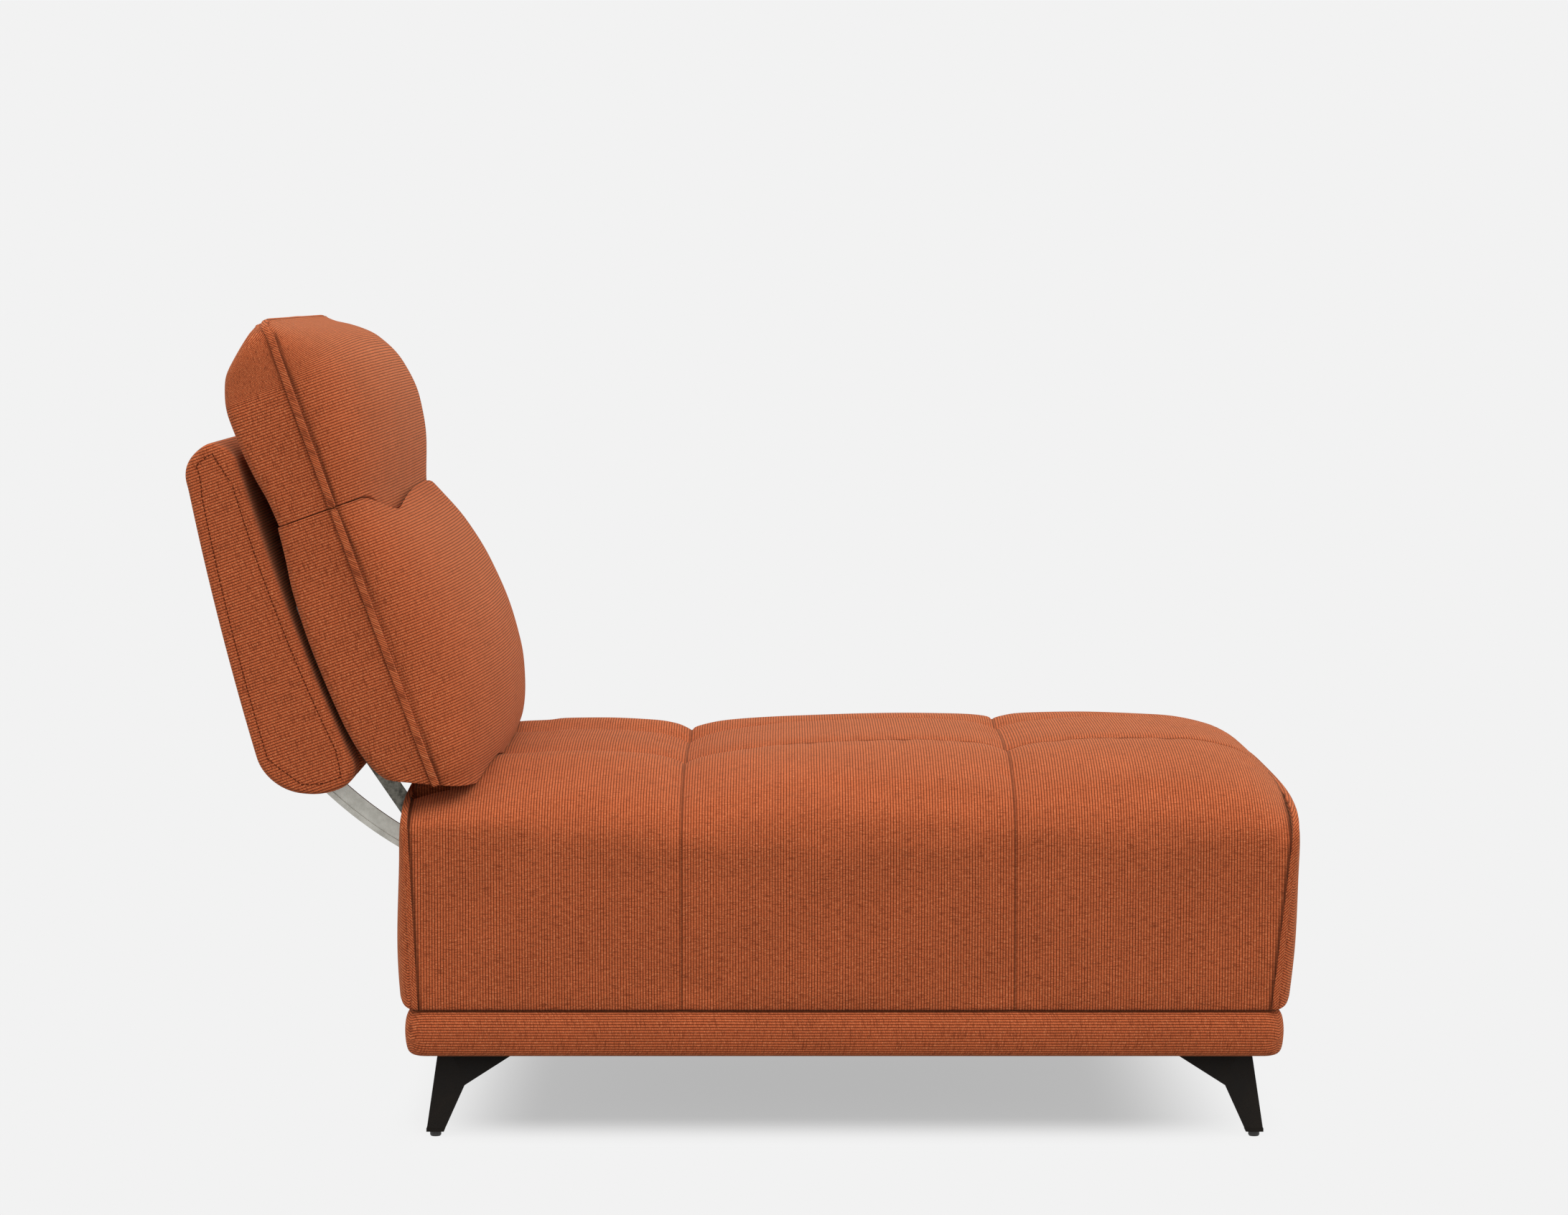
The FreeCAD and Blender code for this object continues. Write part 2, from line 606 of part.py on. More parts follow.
def outer_pin(side, point):
    """A pin through the plate and a lower link, with its head outside."""
    return joined([
        rod(side, point, PIN_RADIUS, (PLATE_LAYER[0], LOWER_LAYER[1] + 0.5)),
        rod(side, point, 8.5, (LOWER_LAYER[1] + 0.5, LOWER_LAYER[1] + 3.5)),
    ])


def inner_pin(side, point):
    """A pin through the plate and an upper link, with its head inside."""
    return joined([
        rod(side, point, PIN_RADIUS, (UPPER_LAYER[0] - 0.5, PLATE_LAYER[1])),
        rod(side, point, 8.5, (UPPER_LAYER[0] - 3.5, UPPER_LAYER[0] - 0.5)),
    ])


def washer(side, point, layer):
    return rod(side, point, 10.0, layer).cut(rod(side, point, PIN_RADIUS, layer))


def pivot_hardware(outer_point, inner_point):
    """Pins and washers of one plate on each side."""
    outer_layer = (PLATE_LAYER[1], PLATE_LAYER[1] + WASHER)
    inner_layer = (PLATE_LAYER[0] - WASHER, PLATE_LAYER[0])
    pins, washers = [], []
    for _, side in SIDES:
        pins += [outer_pin(side, outer_point), inner_pin(side, inner_point)]
        washers += [washer(side, outer_point, outer_layer), washer(side, inner_point, inner_layer)]
    return Part.makeCompound(pins), Part.makeCompound(washers)


def mechanism():
    parts = {}
    for name, side in SIDES:
        parts["base_bracket_" + name] = base_bracket(side)
        parts["lower_link_" + name] = lower_link(side)
        parts["upper_link_" + name] = upper_link(side)
        parts["back_bracket_" + name] = back_bracket(side)
    reach = LOWER_LAYER[0]
    tube = Part.makeCylinder(9.0, 2 * reach, Vector(TIE[0], -reach, TIE[1]), Vector(0, 1, 0))
    bore = Part.makeCylinder(7.0, 2 * reach, Vector(TIE[0], -reach, TIE[1]), Vector(0, 1, 0))
    parts["tie_tube"] = tube.cut(bore)
    parts["base_pivot_pins"], parts["base_pivot_washers"] = pivot_hardware(LOWER_FOOT, UPPER_FOOT)
    parts["back_pivot_pins"], parts["back_pivot_washers"] = pivot_hardware(LOWER_HEAD, UPPER_HEAD)
    spacer_layer = (PLATE_LAYER[1], FRAME_INNER_Y)
    spacers, bolts = [], []
    for _, side in SIDES:
        spacer = side_box(side, (-254.0, -208.0), spacer_layer, (315.0, 345.0))
        holes = [rod(side, point, BRACKET_BOLT, BOLT_LAYER) for point in BRACKET_BOLTS]
        spacers.append(without(spacer, *holes))
        for point in BRACKET_BOLTS:
            shaft = rod(side, point, BRACKET_BOLT, (PLATE_LAYER[0] - 1, FRAME_INNER_Y + FRAME_BOARD - 2))
            head = rod(side, point, 7.0, (PLATE_LAYER[0] - 5, PLATE_LAYER[0]))
            bolts.append(joined([head, shaft]))
    parts["bracket_spacers"] = Part.makeCompound(spacers)
    parts["bracket_bolts"] = Part.makeCompound(bolts)
    return parts


# Back: brackets and frame

def back_bracket(side):
    """A plate in the panel for both upper pivots and the cross tubes, with an arm to the pillow's frame."""
    arm_end = (227.0, -20.0)
    paths = (
        ((108.0, -153.0), (178.5, -105.0), 28.0),
        ((178.5, -105.0), TUBE_UV[0], 30.0),
        ((108.0, -153.0), TUBE_UV[0], 24.0),
        (TUBE_UV[0], TUBE_UV[1], 22.0),
        (TUBE_UV[0], arm_end, 34.0),
    )
    web = joined([strap(side, (on_back(*a), on_back(*b)), width, PLATE_LAYER) for a, b, width in paths])
    holes = [rod(side, point, PIN_RADIUS, BORE_LAYER) for point in (LOWER_HEAD, UPPER_HEAD)]
    holes += [rod(side, on_back(*spot), STILE_BOLT, BORE_LAYER) for spot in STILE_BOLTS]
    return without(web, *holes)


def back_frame():
    parts = {}
    reach = PLATE_LAYER[0]
    tubes = []
    for spot in TUBE_UV:
        outer = rod(LEFT, on_back(*spot), TUBE_RADIUS, (-reach, reach))
        tubes.append(outer.cut(rod(LEFT, on_back(*spot), TUBE_RADIUS - TUBE_WALL, (-reach, reach))))
    board = back_slab(PANEL_BOARD_U, PANEL_BOARD_V, 236.0)
    screws, holes = [], []
    for u, v in TUBE_UV:
        for y in (-180.0, 0.0, 180.0):
            start = back_point(u, PANEL_BOARD_V[0] - 3.0, y)
            forward = back_point(u, 0, y) - back_point(u, -1.0, y)
            seat = back_point(u, PANEL_BOARD_V[0], y)
            head = Part.makeCylinder(5.0, 3.0, start, forward)
            shaft = Part.makeCylinder(2.0, v - TUBE_RADIUS - PANEL_BOARD_V[0] + 1.0, seat, forward)
            screws.append(joined([head, shaft]))
            holes.append(shaft)
    tube_rooms = [rod(LEFT, on_back(*spot), TUBE_RADIUS, (-reach, reach)) for spot in TUBE_UV]
    parts["panel_board"] = without(board, *holes, *tube_rooms)
    parts["back_tubes"] = without(Part.makeCompound(tubes), *holes)
    parts["panel_screws"] = Part.makeCompound(screws)
    hole_layer = (STILE_LAYER[0] - 8, BORE_LAYER[1])
    stile_holes = []
    for _, side in SIDES:
        stile_holes += [rod(side, on_back(*spot), STILE_BOLT, hole_layer) for spot in STILE_BOLTS]
    bolts = []
    for name, side in SIDES:
        parts["pillow_stile_" + name] = without(back_block(side, STILE_U, STILE_V, STILE_LAYER), *stile_holes)
        for spot in STILE_BOLTS:
            shaft = rod(side, on_back(*spot), STILE_BOLT, (STILE_LAYER[0] + 4, PLATE_LAYER[1]))
            head = rod(side, on_back(*spot), 6.5, (PLATE_LAYER[1], PLATE_LAYER[1] + 4))
            bolts.append(joined([shaft, head]))
    parts["stile_bolts"] = Part.makeCompound(bolts)
    reach = STILE_LAYER[0]
    rails = [back_slab(u, STILE_V, reach) for u in ((STILE_U[0], 66.0), (268.0, STILE_U[1]))]
    parts["pillow_rails"] = Part.makeCompound(rails)
    return parts


# Back: upholstery

def panel_profile(i, bulge=0.0):
    """The wedge-shaped outline of the rear panel, drawn in by i, as lines and arcs through (u, v)."""
    return (
        ("arc", (416.0 - i, -90.0 - i), (244.0, -94.0 - i), (66.0 + i, -85.0 - i)),
        ("arc", (66.0 + i, -85.0 - i), (46.0 + i, -88.0 - i), (36.0 + i, -103.0)),
        ("arc", (36.0 + i, -103.0), (36.0 + i, -126.0), (43.0 + i, -148.0)),
        ("arc", (43.0 + i, -148.0), (62.0 + i, -176.0 + i), (96.0, -187.5 + i)),
        ("arc", (96.0, -187.5 + i), (262.0, -177.0 + i - bulge), (418.0 - i, -157.5 + i)),
        ("arc", (418.0 - i, -157.5 + i), (434.0 - i, -153.0 + i), (445.0 - i, -143.0)),
        ("line", (445.0 - i, -143.0), None, (455.5 - i, -112.0)),
        ("arc", (455.5 - i, -112.0), (444.0 - i, -97.0 - i), (416.0 - i, -90.0 - i)),
    )


def outline_wire(runs, y):
    edges = []
    for kind, start, middle, end in runs:
        if kind == "line":
            edges.append(line(back_point(*start, y), back_point(*end, y)))
        else:
            edges.append(bow(back_point(*start, y), back_point(*middle, y), back_point(*end, y)))
    return Part.Wire(edges)


def rear_panel():
    half = PANEL_WIDTH / 2
    full = half - 6.0
    across = ((-full, 0.0), (-full / 2, 4.5), (0, 6.0), (full / 2, 4.5), (full, 0.0))
    middle = Part.makeLoft([outline_wire(panel_profile(0, bulge), y) for y, bulge in across], True, False)
    edges = []
    for side in (LEFT, RIGHT):
        rim = ((full, 0.0), (full + 4.0, 1.8), (half, 6.0))
        wires = [outline_wire(panel_profile(inset), side * y) for y, inset in rim]
        edges.append(Part.makeLoft(wires, True, True))
    body = middle.fuse(edges).removeSplitter()
    rooms = []
    plate_room = (PLATE_LAYER[0] - 0.5, PLATE_LAYER[1] + 0.5)
    for _, side in SIDES:
        rooms.append(back_block(side, (-20.0, 126.0), (-178.0, -60.0), SLOT_LAYER))
        rooms.append(back_block(side, (125.0, 196.0), (-134.0, -60.0), SLOT_LAYER))
        rooms.append(back_block(side, (120.0, 223.0), (-168.0, -60.0), plate_room))
        rooms.append(back_block(side, (222.0, 366.0), (-142.0, -60.0), plate_room))
    board_u = (PANEL_BOARD_U[0] - 0.5, PANEL_BOARD_U[1] + 0.5)
    rooms.append(back_slab(board_u, (PANEL_BOARD_V[0] - 3.5, PANEL_BOARD_V[1] + 0.4), 236.5))
    for u, v in TUBE_UV:
        rooms.append(rod(LEFT, on_back(u, v), 11.5, (-PLATE_LAYER[0], PLATE_LAYER[0])))
        rooms.append(back_slab((u - 5.5, u + 5.5), (v - 14.0, v), 190.0))
    return without(body, *rooms)


def pillow_outline(level):
    """One level of a back pillow: flat rear with rounded edges, plain gussets, and a crowned front."""
    u, rear, crown, drawn_in, rim, front = level
    half = BACK_WIDTH / 2 - drawn_in
    rear_half = half - rim

    def place(v, y):
        return back_point(u, v, y)

    def rear_corner(side):
        bend = place(rear + rim * (1 - TURN), side * (rear_half + rim * TURN))
        return place(rear, side * rear_half), bend, place(rear + rim, side * half)

    knee_v, knee_y = front + 0.8 * (crown - front), 0.72 * half
    bend_v, bend_y = front + 0.5 * (crown - front), 0.91 * half
    return Part.Wire([
        line(place(rear, -rear_half), place(rear, rear_half)),
        bow(*rear_corner(LEFT)),
        line(place(rear + rim, half), place(front, half)),
        bow(place(front, half), place(bend_v, bend_y), place(knee_v, knee_y)),
        bow(place(knee_v, knee_y), place(crown, 0), place(knee_v, -knee_y)),
        bow(place(knee_v, -knee_y), place(bend_v, -bend_y), place(front, -half)),
        line(place(front, -half), place(rear + rim, -half)),
        bow(*reversed(rear_corner(RIGHT))),
    ])


def pillow_form(levels):
    return Part.makeLoft([pillow_outline(level) for level in levels], True, False)


def around(axis, spot, turn, reach):
    """The (u, v) place at a distance from an axis, towards a spot that is turned forwards about it."""
    direction = math.atan2(spot[1] - axis[1], spot[0] - axis[0]) + math.radians(turn)
    return (axis[0] + reach * math.cos(direction), axis[1] + reach * math.sin(direction))


def above(u_seam):
    return back_slab((u_seam, 620.0), (-200.0, 200.0), 400.0)


def roll(radius):
    """The rounded lower front of the headrest, centred on its tilt axis."""
    return rod(LEFT, on_back(*HEAD_AXIS), radius, (-400.0, 400.0))


def lumbar_pillow():
    form = without(pillow_form(LUMBAR_LEVELS), above(HEAD_SEAM_U), roll(HEAD_ROLL + ROLL_GAP))
    rooms = [seat_block(1.2)]
    gap = 0.4
    plate_room = (PLATE_LAYER[0] - gap, PLATE_LAYER[1] + 4.6)
    arm_room = (LOWER_ARM[0] - gap, LOWER_ARM[1] + gap)
    for _, side in SIDES:
        rooms.append(back_block(side, (-40.0, 160.0), (-120.0, -50.0), SLOT_LAYER))
        rooms.append(back_block(side, (200.0, 256.0), (-120.0, 0.5), plate_room))
        rooms.append(strap(side, (on_back(*ARM_ROOT), on_back(*HEAD_AXIS)), 24.0, arm_room))
    stile_u, stile_v = [(low - gap, high + gap) for low, high in (STILE_U, STILE_V)]
    rooms.append(back_slab(stile_u, stile_v, PLATE_LAYER[0]))
    return without(form, *rooms)


def headrest_cushion():
    form = pillow_form(HEAD_LEVELS)
    upper = form.common(above(HEAD_SEAM_U + 0.5))
    lower = form.common(roll(HEAD_ROLL))
    body = upper.fuse(lower).removeSplitter()
    gap = 0.4
    board_u = (HEAD_BOARD_U[0] - gap, HEAD_BOARD_U[1] + gap)
    board_v = (HEAD_BOARD_V[0] - gap, HEAD_BOARD_V[1] + 4.5)
    rooms = [back_slab(board_u, board_v, HEAD_BOARD_HALF + gap)]
    axis = on_back(*HEAD_AXIS)
    lower_room = (LOWER_ARM[0] - gap, UPPER_ARM[0])
    upper_room = (UPPER_ARM[0] - gap, UPPER_ARM[1] + 4.0)
    flange_room = (UPPER_ARM[0] - 24.0, UPPER_ARM[1] + 24.0)
    for _, side in SIDES:
        rooms.append(rod(side, axis, 13.5, (LOWER_ARM[0] - 3.5, UPPER_ARM[0])))
        for tilt in range(0, HEAD_TILT + 1, HEAD_TILT // 3):
            reach = around(HEAD_AXIS, ARM_ROOT, -tilt, HEAD_ROLL + 12.0)
            rooms.append(strap(side, (axis, on_back(*reach)), 26.0, lower_room))
        rooms.append(strap(side, (axis, on_back(*ARM_TOP)), 24.0, upper_room))
        rooms.append(back_block(side, (412.0, 458.0), (-0.1, 22.5), flange_room))
    return without(body, *rooms)


def headrest_hinges():
    """Two ratchet hinges: an arm on the pillow's top rail, an arm on the headrest board, and a pin."""
    lower_arms, upper_arms, pins, screws = [], [], [], []
    axis = on_back(*HEAD_AXIS)
    for _, side in SIDES:
        lower_strap = strap(side, (on_back(*ARM_ROOT), axis), 20.0, LOWER_ARM)
        lower = joined([lower_strap, rod(side, axis, 12.0, LOWER_ARM)])
        rail_room = back_block(side, STILE_U, (STILE_V[0] - 5, STILE_V[1]), HINGE_LAYER)
        lower_arms.append(without(lower, rod(side, axis, RATCHET_PIN, HINGE_LAYER), rail_room))
        upper_strap = strap(side, (axis, on_back(*ARM_TOP)), 20.0, UPPER_ARM)
        upper = joined([upper_strap, rod(side, axis, 12.0, UPPER_ARM)])
        board_room = back_block(side, (380.0, 540.0), (-30.0, 0.0), HINGE_LAYER)
        flange = back_block(side, (418.0, 452.0), (0.0, 3.0), (UPPER_ARM[0] - 18.0, UPPER_ARM[1] + 18.0))
        upper = joined([without(upper, board_room), flange])
        holes = []
        for y in (UPPER_ARM[0] - 10.0, UPPER_ARM[1] + 10.0):
            start = back_point(435.0, 3.0, side * y)
            inward = back_point(435.0, 2.0, side * y) - back_point(435.0, 3.0, side * y)
            shaft = Part.makeCylinder(2.5, 12.0, start, inward)
            head = Part.makeCylinder(4.5, 2.0, start, inward * -1)
            screws.append(joined([shaft, head]))
            holes.append(shaft)
        upper_arms.append(without(upper, rod(side, axis, RATCHET_PIN + RUNNING, HINGE_LAYER), *holes))
        shaft = rod(side, axis, RATCHET_PIN, (LOWER_ARM[0], UPPER_ARM[1] + 0.5))
        head = rod(side, axis, 7.0, (UPPER_ARM[1] + 0.5, UPPER_ARM[1] + 3.0))
        foot = rod(side, axis, 7.0, (LOWER_ARM[0] - 2.5, LOWER_ARM[0]))
        pins.append(joined([shaft, head, foot]))
    board = without(back_slab(HEAD_BOARD_U, HEAD_BOARD_V, HEAD_BOARD_HALF), *screws)
    return {
        "ratchet_lower_arms": Part.makeCompound(lower_arms),
        "ratchet_upper_arms": Part.makeCompound(upper_arms),
        "ratchet_pins": Part.makeCompound(pins),
        "headrest_screws": Part.makeCompound(screws),
        "headrest_board": board,
    }


def back_upholstery():
    return {
        "back_panel": rear_panel(),
        "lumbar_pillow": lumbar_pillow(),
        "headrest_cushion": headrest_cushion(),
    }


def main():
    os.makedirs("parts", exist_ok=True)
    groups = (seat_upholstery, seat_frame, plinth, base_frame, legs, mechanism, back_frame, headrest_hinges,
              back_upholstery)
    for group in groups:
        for name, shape in group().items():
            shape.exportStep("parts/" + name + ".step")
            room = shape.BoundBox
            print(f"{name:22s} solids {len(shape.Solids):2d} valid {shape.isValid()}"
                  f" X {room.XMin:7.1f} {room.XMax:7.1f} Y {room.YMin:7.1f} {room.YMax:7.1f}"
                  f" Z {room.ZMin:6.1f} {room.ZMax:6.1f}")


main()
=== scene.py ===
"""Armless recliner: terracotta ribbed covers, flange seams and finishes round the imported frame.

Shapes are worked out in millimetres, +X to the front of the seat, +Y to the sitter's left, +Z up.
"""
import bmesh
import bpy
import json
import math
import numpy as np
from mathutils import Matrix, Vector
from mathutils.bvhtree import BVHTree


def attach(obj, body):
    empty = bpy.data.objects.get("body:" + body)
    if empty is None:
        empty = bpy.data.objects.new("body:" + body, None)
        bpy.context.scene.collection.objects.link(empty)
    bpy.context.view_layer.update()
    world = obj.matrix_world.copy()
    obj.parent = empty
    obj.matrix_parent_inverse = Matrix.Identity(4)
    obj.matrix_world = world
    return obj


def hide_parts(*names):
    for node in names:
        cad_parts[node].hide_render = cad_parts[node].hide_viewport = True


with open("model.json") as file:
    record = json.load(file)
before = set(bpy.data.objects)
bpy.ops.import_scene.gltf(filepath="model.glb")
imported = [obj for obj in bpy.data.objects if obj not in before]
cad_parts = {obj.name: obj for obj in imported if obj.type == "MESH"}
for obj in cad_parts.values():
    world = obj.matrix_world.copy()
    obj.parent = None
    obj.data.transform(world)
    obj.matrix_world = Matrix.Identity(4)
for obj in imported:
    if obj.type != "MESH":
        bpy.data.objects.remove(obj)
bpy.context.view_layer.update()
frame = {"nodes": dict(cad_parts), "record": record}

MM = 0.001
HALF = 350.0

# Seat block
SEAM_BOTTOM = 153.2
SEAM_REFERENCE = 380.0
REAR_FOOT, REAR_LEAN = -378.0, -11.5      # the end seams at their feet, and how far they lean by SEAM_REFERENCE
FRONT_FOOT, FRONT_LEAN = 594.0, 25.5
LEAN_REACH = 90.0
TUFT_SEAMS = (-78.0, 302.0)
STITCH_LINE = 117.0
STITCHES_END = 618.0
STRIP_CENTRE = 202.5                      # the padded strips beside the stitched lines
STRIP_REACH = (85.5, 125.0)               # how far a strip swells inwards and outwards
SHOULDER_POWER = 2.17                     # roundness of the top's cross section at the ends
SHOULDER_SPREAD = 0.58                    # and what the middle adds to it
SHOULDER_DROP = 32.0                      # how much lower the rounding starts between the ends
# X, height where the side ends, height of the middle, bump of the outer strips, dip at the stitched lines
REAR_FIELD = ((-390, 358, 404, 6.0, 0.0), (-350, 366, 417, 6.8, 1.8), (-290, 371, 428, 7.7, 4.5),
              (-190, 373, 430, 7.7, 6.5), (-120, 373, 427, 7.4, 9.6), (-78, 371, 418, 7.6, 9.3))
MIDDLE_FIELD = ((-78, 371, 418, 7.6, 9.3), (-35, 374, 428, 6.2, 4.4), (60, 375, 438, 2.6, 1.0),
                (190, 375, 442.5, 1.7, 0.9), (265, 375, 439, 4.0, 1.1), (302, 373, 434, 6.7, 5.5))
FRONT_FIELD = ((302, 373, 434, 6.7, 5.5), (345, 375, 440, 4.6, 2.2), (430, 374, 444, 1.7, 0.0),
               (510, 369, 443, 0.0, 0.0), (575, 359, 431, 0.0, 0.0), (620.5, 342, 396, 2.0, 0.0))

FRONT_ARCH = (342.0, 390.0)               # height of an end panel at its sides and in the middle
REAR_ARCH = (358.0, 397.0)
LINK_ROOM_Y = (252.0, 287.0)
LINK_ROOM_GROWTH = 0.5

# Back
FOOT_X, FOOT_Z = -350.7, 410.8
LEAN = math.radians(19.85)
HEAD_SEAM = 338.0
ROLL_U, ROLL_V, ROLL_RADIUS = 344.0, 38.0, 35.5
SEAM_V = -5.0
HEAD_TOP = 563.0
# u, v of the rear, v of the crown, how far the sides are drawn in, rear edge radius
LUMBAR_LEVELS = ((-30, -6, 43, 12, 3), (-4, -14, 61, 10, 4), (14, -46, 76, 3, 12), (50, -70, 92, 0, 14),
                 (95, -80, 103.5, 0, 14), (150, -84, 107.5, 0, 14), (205, -85.5, 103.5, 0, 14),
                 (262, -83, 91, 0, 14), (305, -77, 73, 0, 14), (332, -74, 60, 0, 14), (352, -72, 52, 0, 14))
HEAD_LEVELS = ((300, -70, 53, 0, 14), (332, -71, 61, 0, 14), (368, -73, 77, 0, 14), (403, -78.5, 86, 0, 14),
               (436, -81.5, 90, 0.5, 14), (474, -82.5, 85, 2, 14), (515, -72, 65, 6, 14),
               (539, -49, 37, 11, 12),
               (554, -31, 9, 22, 6), (562, -23, -4, 62, 3))

# Weave
RIB_PITCH = 3.2
BEAD_PITCH = 2.6


# Small helpers

def smooth(t):
    t = np.clip(t, 0.0, 1.0)
    return t * t * (3.0 - 2.0 * t)


def along_curve(table, column, x):
    """A smooth curve through one column of a table, read at x."""
    xs = np.array([row[0] for row in table], float)
    ys = np.array([row[column] for row in table], float)
    steps = np.diff(ys) / np.diff(xs)
    slopes = np.empty_like(ys)
    product, total = steps[1:] * steps[:-1], steps[1:] + steps[:-1]
    slopes[1:-1] = np.where(product > 0, 2 * product / (total + 1e-9), 0)
    slopes[0], slopes[-1] = steps[0], steps[-1]
    x = np.clip(x, xs[0], xs[-1])
    cell = np.clip(np.searchsorted(xs, x) - 1, 0, len(xs) - 2)
    width = xs[cell + 1] - xs[cell]
    t = (x - xs[cell]) / width
    return ((2 * t**3 - 3 * t**2 + 1) * ys[cell] + (t**3 - 2 * t**2 + t) * width * slopes[cell]
            + (3 * t**2 - 2 * t**3) * ys[cell + 1] + (t**3 - t**2) * width * slopes[cell + 1])


def on_back(u, v):
    """X and Z of a place on the back, u up it and v out of its front."""
    return FOOT_X - u * math.sin(LEAN) + v * math.cos(LEAN), FOOT_Z + u * math.cos(LEAN) + v * math.sin(LEAN)


def off_back(x, z):
    """u and v of a place given by X and Z."""
    dx, dz = x - FOOT_X, z - FOOT_Z
    return dz * math.cos(LEAN) - dx * math.sin(LEAN), dx * math.cos(LEAN) + dz * math.sin(LEAN)


def block_skin(na, nb, nc):
    """Lattice places and quads of the skin of a block of na by nb by nc cells."""
    index, places, faces = {}, [], []

    def spot(*key):
        if key not in index:
            index[key] = len(places)
            places.append(key)
        return index[key]

    for i in range(na):
        for j in range(nb):
            faces.append((spot(i, j, 0), spot(i, j + 1, 0), spot(i + 1, j + 1, 0), spot(i + 1, j, 0)))
            faces.append((spot(i, j, nc), spot(i + 1, j, nc), spot(i + 1, j + 1, nc), spot(i, j + 1, nc)))
    for i in range(na):
        for k in range(nc):
            faces.append((spot(i, 0, k), spot(i + 1, 0, k), spot(i + 1, 0, k + 1), spot(i, 0, k + 1)))
            faces.append((spot(i, nb, k), spot(i, nb, k + 1), spot(i + 1, nb, k + 1), spot(i + 1, nb, k)))
    for j in range(nb):
        for k in range(nc):
            faces.append((spot(0, j, k), spot(0, j, k + 1), spot(0, j + 1, k + 1), spot(0, j + 1, k)))
            faces.append((spot(na, j, k), spot(na, j + 1, k), spot(na, j + 1, k + 1), spot(na, j, k + 1)))
    return np.array(places), faces


def ring_faces(rings, around, closed):
    """Quads between successive rings of points, and end faces unless the rings close on each other."""
    faces = []
    for i in range(rings if closed else rings - 1):
        for j in range(around):
            a, b = i * around, (i + 1) % rings * around
            k = (j + 1) % around
            faces.append((a + j, a + k, b + k, b + j))
    if not closed:
        faces.append(tuple(range(around))[::-1])
        faces.append(tuple((rings - 1) * around + j for j in range(around)))
    return faces


def new_piece(name, points, faces, body, material):
    """A mesh object from points in millimetres, riding on a body."""
    mesh = bpy.data.meshes.new(name)
    mesh.from_pydata((np.asarray(points, float) * MM).tolist(), [], faces)
    shape = bmesh.new()
    shape.from_mesh(mesh)
    bmesh.ops.recalc_face_normals(shape, faces=shape.faces)
    shape.to_mesh(mesh)
    shape.free()
    piece = bpy.data.objects.new(name, mesh)
    bpy.context.scene.collection.objects.link(piece)
    mesh.materials.append(material)
    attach(piece, body)
    return piece


def apply_modifiers(piece):
    evaluated = piece.evaluated_get(bpy.context.evaluated_depsgraph_get())
    mesh = bpy.data.meshes.new_from_object(evaluated)
    piece.modifiers.clear()
    old, name = piece.data, piece.data.name
    piece.data = mesh
    bpy.data.meshes.remove(old)
    mesh.name = name


def subdivide(piece):
    modifier = piece.modifiers.new("Subdivision", "SUBSURF")
    modifier.levels = modifier.render_levels = 1
    apply_modifiers(piece)


def mesh_points(mesh):
    points = np.empty(len(mesh.vertices) * 3)
    mesh.vertices.foreach_get("co", points)
    return points.reshape(-1, 3)


def puff(piece, pinned, most=2.5, pressure=4.0):
    """Lets a cover settle over its filling between the seams that hold it, by a few millimetres at most."""
    start = mesh_points(piece.data)
    group = piece.vertex_groups.new(name="seams")
    group.add([int(i) for i in np.flatnonzero(pinned)], 1.0, "REPLACE")
    modifier = piece.modifiers.new("Cloth", "CLOTH")
    fabric = modifier.settings
    fabric.quality, fabric.mass = 5, 0.3
    fabric.tension_stiffness = fabric.compression_stiffness = 20.0
    fabric.shear_stiffness, fabric.bending_stiffness = 8.0, 1.5
    fabric.shrink_min = -0.012
    fabric.use_pressure, fabric.uniform_pressure_force = True, pressure
    fabric.vertex_group_mass = group.name
    fabric.effector_weights.gravity = 0.0
    modifier.point_cache.frame_start, modifier.point_cache.frame_end = 1, 20
    scene = bpy.context.scene
    for moment in range(1, 21):
        scene.frame_set(moment)
    settled = piece.evaluated_get(bpy.context.evaluated_depsgraph_get())
    shift = mesh_points(settled.data) - start
    reach = np.linalg.norm(shift, axis=1)
    cap = most * MM * np.tanh(reach / (most * MM)) / np.maximum(reach, 1e-9)
    piece.modifiers.clear()
    piece.vertex_groups.clear()
    piece.data.vertices.foreach_set("co", (start + shift * cap[:, None]).ravel())
    piece.data.update()
    scene.frame_set(1)


def cut_rooms(piece, rooms):
    """Cuts open rooms out of a piece: each is a polygon of (x, z) places and a range of Y."""
    for outline, (low, high) in rooms:
        count = len(outline)
        points = [(x, y, z) for y in (low, high) for x, z in outline]
        faces = ring_faces(2, count, False)
        cutter = new_piece("cutter", points, faces, "base", piece.data.materials[0])
        modifier = piece.modifiers.new("Boolean", "BOOLEAN")
        modifier.operation, modifier.solver, modifier.object = "DIFFERENCE", "EXACT", cutter
        apply_modifiers(piece)
        bpy.data.objects.remove(cutter)


def finish_cover(piece, weave, sharp=38.0):
    """Stores where each point lies in the weave, across and along the ribs, with a third value that paints
    shade into seams and creases, and shades the cover smooth.
    """
    mesh = piece.data
    values = weave(*(mesh_points(mesh) / MM).T)
    layer = mesh.attributes.new("weave", "FLOAT_VECTOR", "POINT")
    layer.data.foreach_set("vector", np.stack(np.broadcast_arrays(*values), 1).ravel())
    mesh.shade_smooth()
    mesh.set_sharp_from_angle(angle=math.radians(sharp))


# Shader building

